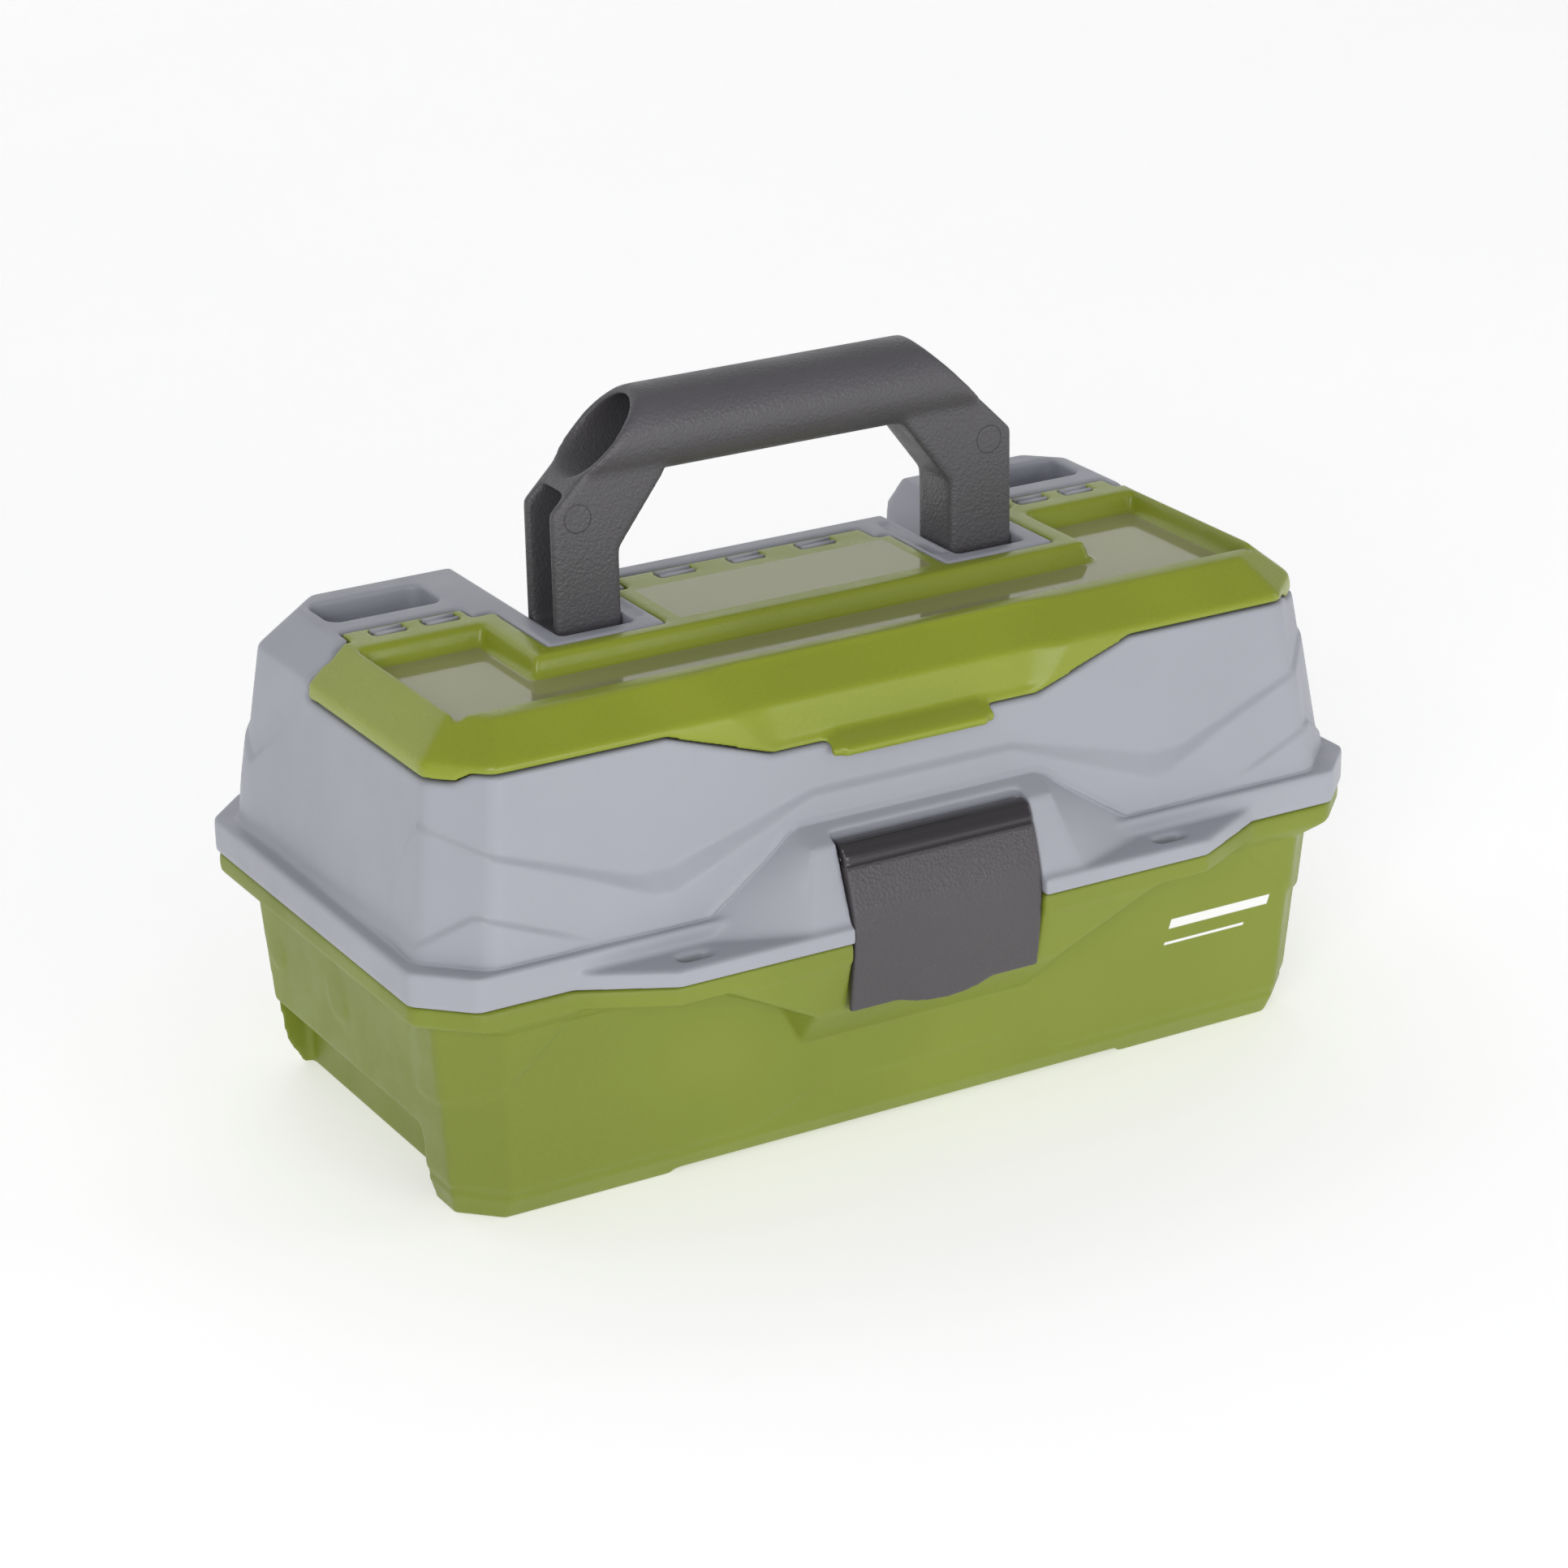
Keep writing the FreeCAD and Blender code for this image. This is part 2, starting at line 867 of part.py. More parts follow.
# the small pull tab in the middle of the cover's front
pull = prism(
    "cover_pull",
    "yz",
    "-30.6",
    "30.6",
    [
        ("-79", "seam_low"),
        ("-82.6", "142.9"),
        ("-86.2", "140.2"),
        ("-85.2", "137.6"),
        ("-82.6", "137.9"),
        ("-82.6", "seam_low"),
    ],
)
cover_parts.append(pull)
cover_moulding = cut(
    "cover_moulding", fuse("cover_joined", cover_parts), fuse("cover_slots", cover_slots, False)
)
# its top and the skirt below it, which meet face to face
top_cover = common(
    "top_cover", [cover_moulding, box("cover_zone_top", "-200", "200", "-130", "130", "158.9", "200")]
)
cover_skirt = common(
    "cover_skirt", [cover_moulding, box("cover_zone_low", "-200", "200", "-130", "130", "0", "158.9")]
)

# ------------------------------------------------------------------ base


def base_form(name, grow, low="0", top="neck_z"):
    """The base's outside form: a steep skirt below gently leaning walls."""
    stages = [
        (low, "base_low_x", "base_low_y", "base_low_chamfer"),
        ("skirt_z", "skirt_x", "skirt_y", "skirt_chamfer"),
        ("skirt_z", "skirt_x", "skirt_y", "skirt_chamfer"),
        (top, "neck_x", "neck_y", "rim_chamfer"),
    ]
    sections = []
    for i, (z, x, y, c) in enumerate(stages):
        corners = octagon(
            "%s + %s" % (x, grow),
            "%s + %s" % (y, grow),
            "%s + %s" % (y, grow),
            "%s + 0.586 * (%s)" % (c, grow),
        )
        sections.append(outline("%s_%d" % (name, i), "xy", z, corners))
    skirt = loft(name + "_skirt", sections[:2])
    walls = loft(name + "_walls", sections[2:])
    return fuse(name, [skirt, walls])


base_outside = base_form("base_body", "0")
flange_low = loft(
    "base_flange_low",
    [
        outline("flange_a", "xy", "neck_z - 0.01", octagon("170", "88", "88", "rim_chamfer")),
        outline(
            "flange_b",
            "xy",
            "flange_z",
            octagon("rim_x - 0.8", "rim_y - 0.6", "rim_y - 0.6", "rim_chamfer"),
        ),
    ],
)
flange_high = prism(
    "base_flange_high",
    "xy",
    "flange_z",
    "rim_low - seam_gap",
    octagon("rim_x - 0.8", "rim_y - 0.6", "rim_y - 0.6", "rim_chamfer"),
)
flange_soft = rounded("base_flange_soft", flange_high, 6.0, lambda s: upright_edges(s, 4.0))
base_bulge = bulge_plate("base_bulge", "flange_z", "rim_low - seam_gap", "-bulge_y + 0.9")
base_boss = loft(
    "base_boss",
    [
        outline(
            "base_boss_a",
            "xy",
            "40",
            [("-46", "-78"), ("-44", "-84.4"), ("44", "-84.4"), ("46", "-78")],
        ),
        outline(
            "base_boss_b",
            "xy",
            "56",
            [("-56", "-78"), ("-47", "-100.4"), ("47", "-100.4"), ("56", "-78")],
        ),
        outline(
            "base_boss_c",
            "xy",
            "flange_z + 1",
            [("-100", "-80"), ("-84", "-106.6"), ("84", "-106.6"), ("100", "-80")],
        ),
    ],
)
base_blocks = [base_outside, flange_low, flange_soft, base_bulge, base_boss]
for side, tag in ((-1, "left"), (1, "right")):
    # round marks on the base's ends
    for spot, y in (("rear", "mark_rear_y"), ("front", "mark_front_y")):
        name = "pivot_mark_%s_%s" % (spot, tag)
        base_blocks.append(
            rod(name, "7", times(side, "skirt_x - 1"), times(side, "neck_x - 1.0"), y, "arm_z")
        )
base_solid = fuse("base_solid", base_blocks)

base_cuts = []
base_inner = base_form("base_inside", "-base_wall", "0", "rim_low + 2")
base_keep = box("base_inside_limit", "-200", "200", "-120", "120", "base_floor_z", "rim_low + 1.9")
backing = []
for side, tag in ((-1, "left"), (1, "right")):
    backing.append(
        box(
            "carry_backing_" + tag,
            times(side, "carry_x - base_wall"),
            times(side, "200"),
            "-carry_front - base_wall",
            "carry_back + base_wall",
            "-5",
            "carry_z + base_wall",
        )
    )
    base_cuts.append(
        box(
            "carry_recess_" + tag,
            times(side, "carry_x"),
            times(side, "200"),
            "-carry_front",
            "carry_back",
            "-5",
            "carry_z",
        )
    )
base_hollow = cut(
    "base_hollow", common("base_hollow_form", [base_inner, base_keep]), fuse("backings", backing)
)
base_cuts.append(base_hollow)
base_cuts.append(box("foot_gap", "-foot_x", "foot_x", "-120", "120", "-5", "foot_lift"))
base_cuts.extend(lock_slots("base_lock_slot", "30", "100"))
base_cuts.append(
    prism(
        "base_latch_recess",
        "yz",
        "-latch_x - 0.5",
        "latch_x + 0.5",
        [
            ("-101.6", "90"),
            ("-101.6", "74"),
            ("-99.2", "54"),
            ("-125", "54"),
            ("-125", "90"),
        ],
    )
)
base_open = cut("base_open", base_solid, fuse("base_cuts", base_cuts, False))
base_adds = [base_open]
for side, tag in ((-1, "left"), (1, "right")):
    for part, start in (("inner", "hinge_x"), ("outer", "hinge_x + hinge_run + hinge_mid")):
        end = "%s + hinge_run" % start
        base_adds.append(
            rod(
                "base_knuckle_%s_%s" % (part, tag),
                "knuckle_r",
                times(side, start),
                times(side, end),
                "hinge_y",
                "hinge_z",
            )
        )
        base_adds.append(
            box(
                "base_knuckle_web_%s_%s" % (part, tag),
                times(side, start),
                times(side, end),
                "rim_y - 4",
                "hinge_y",
                "hinge_z - knuckle_r",
                "rim_low - seam_gap",
            )
        )
base_full = fuse("base_full", base_adds)
base_bores = []
for side, tag in ((-1, "left"), (1, "right")):
    base_bores.append(
        rod(
            "base_hinge_bore_" + tag,
            "hinge_pin_r",
            times(side, "hinge_x + 1.5"),
            times(side, "hinge_x + 2 * hinge_run + hinge_mid - 1.5"),
            "hinge_y",
            "hinge_z",
        )
    )
    for spot, y in (("rear", "rear_arm_y"), ("front", "front_arm_y")):
        base_bores.append(
            rod(
                "base_rivet_bore_%s_%s" % (spot, tag),
                "rivet_r",
                times(side, "arm_in"),
                times(side, "neck_x - 2.6"),
                y,
                "arm_z",
            )
        )
base_shell = cut("base_shell", base_full, fuse("base_bores", base_bores, False))

# ------------------------------------------------------------------ handle

handle_blocks = [rod("grip", "grip_r", "-leg_out", "leg_out", "grip_y", "grip_z")]
handle_cuts = [rod("grip_bore", "grip_bore_r", "-95", "95", "grip_y", "grip_z")]
for side, tag in ((-1, "left"), (1, "right")):
    leg = prism(
        "leg_" + tag,
        "xz",
        "grip_y - leg_half",
        "grip_y + leg_half",
        [
            (times(side, "46"), "grip_z - grip_r + 1.5"),
            (times(side, "leg_in"), "192"),
            (times(side, "leg_in"), "pivot_z"),
            (times(side, "leg_out"), "pivot_z"),
            (times(side, "leg_out"), "214"),
            (times(side, "68"), "grip_z"),
            (times(side, "46"), "grip_z"),
        ],
    )
    handle_blocks.append(leg)
    handle_blocks.append(
        rod(
            "leg_end_" + tag,
            "leg_half",
            times(side, "leg_in"),
            times(side, "leg_out"),
            "grip_y",
            "pivot_z",
        )
    )
    # slanted ends of the grip
    handle_cuts.append(
        prism(
            "slant_" + tag,
            "xz",
            "-60",
            "60",
            [
                (times(side, "slant_sum - 260"), "260"),
                (times(side, "slant_sum - 190"), "190"),
                (times(side, "slant_sum - 190"), "260"),
            ],
        )
    )
    # open groove in the leg's outside
    handle_cuts.append(
        box(
            "leg_groove_" + tag,
            times(side, "leg_in + 6"),
            times(side, "leg_out + 2"),
            "grip_y - leg_half + 3.6",
            "grip_y + leg_half - 3.6",
            "pivot_z + 12",
            "212.5",
        )
    )
    handle_cuts.append(
        rod(
            "leg_bore_" + tag,
            "handle_pin_r + run_gap",
            times(side, "leg_in - 2"),
            times(side, "leg_out + 2"),
            "grip_y",
            "pivot_z",
        )
    )
carry_handle = cut(
    "carry_handle", fuse("handle_solid", handle_blocks), fuse("handle_cuts", handle_cuts, False)
)

# ------------------------------------------------------------------ latch

latch_plate = prism(
    "latch_plate",
    "yz",
    "-latch_x",
    "latch_x",
    [
        ("-97.2", "latch_z + 3.2"),
        ("-99.9", "latch_z + 3.0"),
        ("-103.2", "100"),
        ("-105.4", "92"),
        ("-106.2", "84"),
        ("-105.8", "74"),
        ("-103.4", "56.3"),
        ("-100.9", "56.3"),
        ("-102.3", "68"),
        ("-102.6", "74"),
        ("-102.6", "91"),
        ("-99.0", "98.5"),
        ("-95.4", "102.5"),
    ],
)
latch_barrel = rod("latch_barrel", "5.9", "-latch_x", "latch_x", "-latch_y", "latch_z")
# thumb lip: the lower edge dips in the middle
latch_lip = prism(
    "latch_lip",
    "xz",
    "-103.4",
    "-101.2",
    [
        ("-17.5", "58"),
        ("-17.5", "56.3"),
        ("-12", "54.9"),
        ("-6", "54.2"),
        ("0", "54"),
        ("6", "54.2"),
        ("12", "54.9"),
        ("17.5", "56.3"),
        ("17.5", "58"),
    ],
)
latch_bore = rod(
    "latch_bore", "latch_pin_r + run_gap", "-latch_x - 2", "latch_x + 2", "-latch_y", "latch_z"
)
front_latch = cut(
    "front_latch",
    fuse("latch_solid", [latch_plate, latch_barrel, latch_lip]),
    latch_bore,
)

# ------------------------------------------------------------------ pins

nodes = [base_shell, top_cover, cover_skirt, carry_handle, front_latch] + lid_pieces


def pin(name, radius, x0, x1, y, z):
    obj = rod(name, radius, x0, x1, y, z)
    nodes.append(obj)
    return obj


for side, tag in ((-1, "left"), (1, "right")):
    pin(
        "hinge_pin_" + tag,
        "hinge_pin_r",
        times(side, "hinge_x + 1.5"),
        times(side, "hinge_x + 2 * hinge_run + hinge_mid - 1.5"),
        "hinge_y",
        "hinge_z",
    )
    pin(
        "handle_pin_" + tag,
        "handle_pin_r",
        times(side, "channel_in - 6"),
        times(side, "channel_out + 6"),
        "grip_y",
        "pivot_z",
    )
    pin(
        "tray_pin_" + tag,
        "rivet_r",
        times(side, "tray_x - tray_wall - 1.2"),
        times(side, "lid_x - 0.6"),
        "hinge_y - arm_dy",
        "hinge_z + arm_dz",
    )
for tag, (x0, x1, fingers) in TABS.items():
    pin(
        "cover_pin_" + tag,
        "cover_pin_r",
        "%s + 0.5" % x0,
        "%s - 0.5" % x1,
        "cover_axis_y",
        "cover_axis_z",
    )
pin("latch_pin", "latch_pin_r", "-latch_x - 5", "latch_x + 5", "-latch_y", "latch_z")

# ------------------------------------------------------------------ arms

for spot, y in (("rear", "rear_arm_y"), ("front", "front_arm_y")):
    for side, tag in ((-1, "left"), (1, "right")):
        inside = times(side, "arm_in")
        outside = times(side, "arm_in + arm_t")
        low = rod("arm_%s_%s_low" % (spot, tag), "arm_half", inside, outside, y, "arm_z")
        high = rod(
            "arm_%s_%s_high" % (spot, tag),
            "arm_half",
            inside,
            outside,
            "%s - arm_dy" % y,
            "arm_z + arm_dz",
        )
        first = inside if side > 0 else outside
        second = outside if side > 0 else inside
        # across the bar: unit normal of the arm's line, times its half width
        ny = "arm_dz / 60.04 * arm_half"
        nz = "arm_dy / 60.04 * arm_half"
        bar = prism(
            "arm_%s_%s_bar" % (spot, tag),
            "yz",
            first,
            second,
            [
                ("%s - %s" % (y, ny), "arm_z - %s" % nz),
                ("%s + %s" % (y, ny), "arm_z + %s" % nz),
                ("%s - arm_dy + %s" % (y, ny), "arm_z + arm_dz + %s" % nz),
                ("%s - arm_dy - %s" % (y, ny), "arm_z + arm_dz - %s" % nz),
            ],
        )
        holes = [
            rod(
                "arm_%s_%s_hole_low" % (spot, tag),
                "rivet_r + run_gap",
                times(side, "arm_in - 1"),
                times(side, "arm_in + arm_t + 1"),
                y,
                "arm_z",
            ),
            rod(
                "arm_%s_%s_hole_high" % (spot, tag),
                "rivet_r + run_gap",
                times(side, "arm_in - 1"),
                times(side, "arm_in + arm_t + 1"),
                "%s - arm_dy" % y,
                "arm_z + arm_dz",
            ),
        ]
        arm = cut(
            "%s_arm_%s" % (spot, tag),
            fuse("arm_%s_%s_solid" % (spot, tag), [low, high, bar]),
            fuse("arm_%s_%s_holes" % (spot, tag), holes, False),
        )
        nodes.append(arm)

# rivets: in the base's walls, and in the tray's ends
for side, tag in ((-1, "left"), (1, "right")):
    low_parts = []
    high_parts = []
    for spot, y in (("rear", "rear_arm_y"), ("front", "front_arm_y")):
        name = "%s_%s" % (spot, tag)
        far = "%s - arm_dy" % y
        low_parts.append(
            rod(
                "base_rivet_shank_" + name,
                "rivet_r",
                times(side, "arm_in - 0.3"),
                times(side, "neck_x - 2.6"),
                y,
                "arm_z",
            )
        )
        low_parts.append(
            rod(
                "base_rivet_head_" + name,
                "rivet_r + 1.2",
                times(side, "arm_in - 1.4"),
                times(side, "arm_in - 0.3"),
                y,
                "arm_z",
            )
        )
        high_parts.append(
            rod(
                "tray_rivet_shank_" + name,
                "rivet_r",
                times(side, "tray_x - tray_wall - 1"),
                times(side, "arm_in + arm_t + 0.4"),
                far,
                "arm_z + arm_dz",
            )
        )
        high_parts.append(
            rod(
                "tray_rivet_head_" + name,
                "rivet_r + 1.2",
                times(side, "arm_in + arm_t + 0.4"),
                times(side, "arm_in + arm_t + 1.5"),
                far,
                "arm_z + arm_dz",
            )
        )
    nodes.append(fuse("base_rivets_" + tag, low_parts))
    nodes.append(fuse("tray_rivets_" + tag, high_parts))

# ------------------------------------------------------------------ tray

tray_block = box(
    "tray_block", "-tray_x", "tray_x", "-tray_front", "tray_back", "tray_low", "tray_top"
)
tray_soft = rounded("tray_soft", tray_block, 8.0, lambda s: upright_edges(s, 20.0))
tray_hole = box(
    "tray_hole",
    "-tray_x + tray_wall",
    "tray_x - tray_wall",
    "-tray_front + tray_wall",
    "tray_back - tray_wall",
    "tray_low + tray_wall",
    "tray_top + 5",
)
tray_hole_soft = rounded("tray_hole_soft", tray_hole, 6.0, lambda s: upright_edges(s, 20.0))
tray_tub = cut("tray_tub", tray_soft, tray_hole_soft)
tray_blocks = [tray_tub]
tray_bores = []
for side, tag in ((-1, "left"), (1, "right")):
    link_y = "hinge_y - arm_dy"
    link_z = "hinge_z + arm_dz"
    tray_blocks.append(
        box(
            "tray_lug_" + tag,
            times(side, "tray_x - tray_wall"),
            times(side, "tray_x"),
            "%s - 5.5" % link_y,
            "%s + 5.5" % link_y,
            "tray_top - 6",
            link_z,
        )
    )
    tray_blocks.append(
        rod(
            "tray_lug_eye_" + tag,
            "5.5",
            times(side, "tray_x - tray_wall"),
            times(side, "tray_x"),
            link_y,
            link_z,
        )
    )
    tray_bores.append(
        rod(
            "tray_link_bore_" + tag,
            "rivet_r + run_gap",
            times(side, "tray_x - tray_wall - 3"),
            times(side, "tray_x + 3"),
            link_y,
            link_z,
        )
    )
    for spot, y in (("rear", "rear_arm_y"), ("front", "front_arm_y")):
        tray_bores.append(
            rod(
                "tray_rivet_bore_%s_%s" % (spot, tag),
                "rivet_r",
                times(side, "tray_x - tray_wall - 3"),
                times(side, "tray_x + 3"),
                "%s - arm_dy" % y,
                "arm_z + arm_dz",
            )
        )
# ribs that locate the dividers
DIVIDERS = (-100.0, -50.0, 0.0, 50.0, 100.0)
for i, x in enumerate(DIVIDERS):
    for edge, ya, yb in (
        ("front", "-tray_front + 1", "-tray_front + tray_wall + 2.5"),
        ("back", "tray_back - tray_wall - 2.5", "tray_back - 1"),
    ):
        for half in (-1, 1):
            a = "%s + %d * 0.9" % (x, half)
            b = "%s + %d * 2.1" % (x, half)
            name = "divider_rib_%d_%s_%d" % (i + 1, edge, half + 1)
            tray_blocks.append(box(name, a, b, ya, yb, "tray_low + 1", "tray_top - 4"))
lift_tray = cut("lift_tray", fuse("tray_solid", tray_blocks), fuse("tray_bores", tray_bores, False))
nodes.append(lift_tray)
for i, x in enumerate(DIVIDERS):
    nodes.append(
        box(
            "tray_divider_%d" % (i + 1),
            "%s - 0.8" % x,
            "%s + 0.8" % x,
            "-tray_front + tray_wall + 0.1",
            "tray_back - tray_wall - 0.1",
            "tray_low + tray_wall + 0.05",
            "tray_top - 4",
        )
    )

# ------------------------------------------------------------------ output

doc.recompute()
os.makedirs("parts", exist_ok=True)
bad = []
for obj in doc.Objects:
    if "Invalid" in obj.State or "Error" in obj.State:
        bad.append(obj.Name)
    elif hasattr(obj, "Shape") and (obj.Shape.isNull() or not obj.Shape.isValid()):
        bad.append(obj.Name + " (shape)")
if bad:
    raise RuntimeError("bad objects: " + ", ".join(bad))
for obj in nodes:
    obj.Label = obj.Name
    obj.Shape.exportStep("parts/%s.step" % obj.Label)
    bounds = obj.Shape.BoundBox
    line = "%-22s solids %d  volume %.0f" % (obj.Label, len(obj.Shape.Solids), obj.Shape.Volume)
    print(line, [round(v, 1) for v in (bounds.XMin, bounds.XMax, bounds.YMin, bounds.YMax)])
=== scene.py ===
"""Looks of the fishing tackle box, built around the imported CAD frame."""
import bpy
import bmesh
import json
import math
import numpy as np
from mathutils import Matrix, Vector


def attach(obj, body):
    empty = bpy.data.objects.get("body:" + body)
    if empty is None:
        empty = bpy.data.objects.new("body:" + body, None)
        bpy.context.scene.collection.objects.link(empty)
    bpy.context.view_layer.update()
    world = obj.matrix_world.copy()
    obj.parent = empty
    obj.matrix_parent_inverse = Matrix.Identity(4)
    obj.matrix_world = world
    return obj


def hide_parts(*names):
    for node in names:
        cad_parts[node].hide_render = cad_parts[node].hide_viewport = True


MM = 0.001
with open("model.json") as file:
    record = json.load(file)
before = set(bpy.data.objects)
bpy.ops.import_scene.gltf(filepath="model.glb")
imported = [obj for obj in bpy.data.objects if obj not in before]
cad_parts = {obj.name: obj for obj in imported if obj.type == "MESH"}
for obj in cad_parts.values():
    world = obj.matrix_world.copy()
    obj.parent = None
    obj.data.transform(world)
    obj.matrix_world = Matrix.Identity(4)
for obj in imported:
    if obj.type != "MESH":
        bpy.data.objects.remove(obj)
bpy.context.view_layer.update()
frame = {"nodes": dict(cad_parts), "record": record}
scene = bpy.context.scene


# ---------------------------------------------------------------- materials

def new_material(name):
    mat = bpy.data.materials.new(name)
    mat.use_nodes = True
    tree = mat.node_tree
    tree.nodes.clear()
    out = tree.nodes.new("ShaderNodeOutputMaterial")
    bsdf = tree.nodes.new("ShaderNodeBsdfPrincipled")
    tree.links.new(bsdf.outputs[0], out.inputs[0])
    return mat, tree, bsdf


def node(tree, kind, **sockets):
    n = tree.nodes.new(kind)
    for key, value in sockets.items():
        if key in n.inputs:
            n.inputs[key].default_value = value
        else:
            setattr(n, key, value)
    return n


def colour(r, g, b):
    """sRGB 0..255 to linear."""
    out = []
    for c in (r, g, b):
        c = c / 255.0
        out.append(c / 12.92 if c <= 0.04045 else ((c + 0.055) / 1.055) ** 2.4)
    return (*out, 1.0)


def maths(tree, op, a, b=None):
    n = tree.nodes.new("ShaderNodeMath")
    n.operation = op
    for i, v in enumerate((a, b)):
        if v is None:
            continue
        if isinstance(v, (int, float)):
            n.inputs[i].default_value = v
        else:
            tree.links.new(v, n.inputs[i])
    return n.outputs[0]


def mix(tree, fac, a, b):
    n = tree.nodes.new("ShaderNodeMix")
    n.data_type = "RGBA"
    for sock, v in ((n.inputs[0], fac), (n.inputs[6], a), (n.inputs[7], b)):
        if isinstance(v, (int, float)):
            sock.default_value = v
        elif isinstance(v, tuple):
            sock.default_value = v
        else:
            tree.links.new(v, sock)
    return n.outputs[2]


def noise(tree, where, scale, detail=3.0, rough=0.55):
    n = node(tree, "ShaderNodeTexNoise", Scale=scale, Detail=detail, Roughness=rough)
    tree.links.new(where, n.inputs["Vector"])
    return n.outputs[0]


def ramp(tree, value, low, high, a=0.0, b=1.0):
    n = tree.nodes.new("ShaderNodeMapRange")
    n.interpolation_type = "SMOOTHSTEP"
    for i, v in enumerate((low, high, a, b)):
        n.inputs[i + 1].default_value = v
    tree.links.new(value, n.inputs[0])
    return n.outputs[0]


def band(tree, value, low, high, soft):
    """1 between low and high, fading over soft."""
    up = ramp(tree, value, low - soft, low + soft)
    down = ramp(tree, value, high - soft, high + soft, 1.0, 0.0)
    return maths(tree, "MULTIPLY", up, down)


EDGE_ROUNDING = 0.0007  # metres, the soft shading of sharp edges


def plastic(name, base, rough=0.42, grain=2200.0, grain_depth=0.00002, patches=0.10, leather=False,
            gloss_and_sheen_mask=None, gloss_and_sheen_colour=None, edge=0.12, line_mask=None, line_colour=None):
    """Moulded plastic: faint flow patches, fine grain, worn edges."""
    mat, tree, bsdf = new_material(name)
    where = tree.nodes.new("ShaderNodeTexCoord").outputs["Object"]
    flow = noise(tree, where, 9.0, 2.0)
    speck = noise(tree, where, 900.0, 2.0)
    dark = tuple([c * (1.0 - patches) for c in base[:3]] + [1.0])
    light = tuple([min(1.0, c * (1.0 + patches)) for c in base[:3]] + [1.0])
    tone = mix(tree, ramp(tree, flow, 0.32, 0.68), dark, light)
    fleck = mix(tree, ramp(tree, speck, 0.35, 0.75, 0.0, 0.22), tone, light)
    geom = tree.nodes.new("ShaderNodeNewGeometry")
    worn = ramp(tree, geom.outputs["Pointiness"], 0.53, 0.62, 0.0, edge)
    white = tuple([c * 0.5 + 0.5 for c in base[:3]] + [1.0])
    final = mix(tree, worn, fleck, white)
    rough_value = ramp(tree, noise(tree, where, 60.0, 4.0), 0.3, 0.7, rough - 0.05, rough + 0.06)
    # Over the mask the colour is replaced and the roughness drops: on the cover's panels the new colour is a
    # painted reflection, on the latch's lip it is the lip's own darker colour.
    if gloss_and_sheen_mask is not None:
        mask = gloss_and_sheen_mask(tree, where)
        final = mix(tree, mask, final, gloss_and_sheen_colour)
        keep = maths(tree, "SUBTRACT", 1.0, mask)
        duller = maths(tree, "ADD", maths(tree, "MULTIPLY", keep, 0.72), 0.28)
        rough_value = maths(tree, "MULTIPLY", rough_value, duller)
    if line_mask is not None:
        final = mix(tree, line_mask(tree, where), final, line_colour)
    tree.links.new(final, bsdf.inputs["Base Color"])
    tree.links.new(rough_value, bsdf.inputs["Roughness"])
    bsdf.inputs["Specular IOR Level"].default_value = 0.5
    bump = tree.nodes.new("ShaderNodeBump")
    bump.inputs["Distance"].default_value = grain_depth
    bump.inputs["Strength"].default_value = 1.0
    if leather:
        cells = node(tree, "ShaderNodeTexVoronoi", Scale=grain)
        tree.links.new(where, cells.inputs["Vector"])
        fine = maths(tree, "MULTIPLY", noise(tree, where, grain * 0.6, 2.0), 0.8)
        height = maths(tree, "ADD", cells.outputs["Distance"], fine)
    else:
        height = noise(tree, where, grain, 2.0)
    if gloss_and_sheen_mask is not None:
        height = maths(tree, "MULTIPLY", height, keep)
    tree.links.new(height, bump.inputs["Height"])
    soft = node(tree, "ShaderNodeBevel", samples=6)
    soft.inputs["Radius"].default_value = EDGE_ROUNDING
    tree.links.new(soft.outputs[0], bump.inputs["Normal"])
    tree.links.new(bump.outputs[0], bsdf.inputs["Normal"])
    return mat


def metal(name, base, rough=0.3):
    mat, tree, bsdf = new_material(name)
    where = tree.nodes.new("ShaderNodeTexCoord").outputs["Object"]
    streak = tree.nodes.new("ShaderNodeMapping")
    streak.inputs["Scale"].default_value = (0.05, 1.0, 1.0)
    tree.links.new(where, streak.inputs[0])
    lines = noise(tree, streak.outputs[0], 1800.0, 3.0)
    spots = noise(tree, where, 120.0, 4.0)
    dark = tuple([c * 0.72 for c in base[:3]] + [1.0])
    tree.links.new(mix(tree, ramp(tree, spots, 0.3, 0.7), dark, base), bsdf.inputs["Base Color"])
    tree.links.new(ramp(tree, lines, 0.3, 0.7, rough - 0.08, rough + 0.12), bsdf.inputs["Roughness"])
    bsdf.inputs["Metallic"].default_value = 1.0
    bump = tree.nodes.new("ShaderNodeBump")
    bump.inputs["Distance"].default_value = 0.00001
    tree.links.new(lines, bump.inputs["Height"])
    tree.links.new(bump.outputs[0], bsdf.inputs["Normal"])
    return mat


# the cover's polished panels, where a painted reflection lies, in metres
RECESS_FLOOR_Z = (0.1605, 0.1622)
RECESS_FLOOR_Y = (-0.0575, 0.0115)
MIDDLE_PANEL_X = (0.0482, 0.0488)
MIDDLE_PANEL_Y = (-0.0175, 0.015)
MIDDLE_PANEL_Z = (0.1675, 0.1682)
# only level faces that point up get the painted reflection on the recess floor
LEVEL_NORMAL = (0.970, 0.985)  # upward part of the normal where a face counts as level


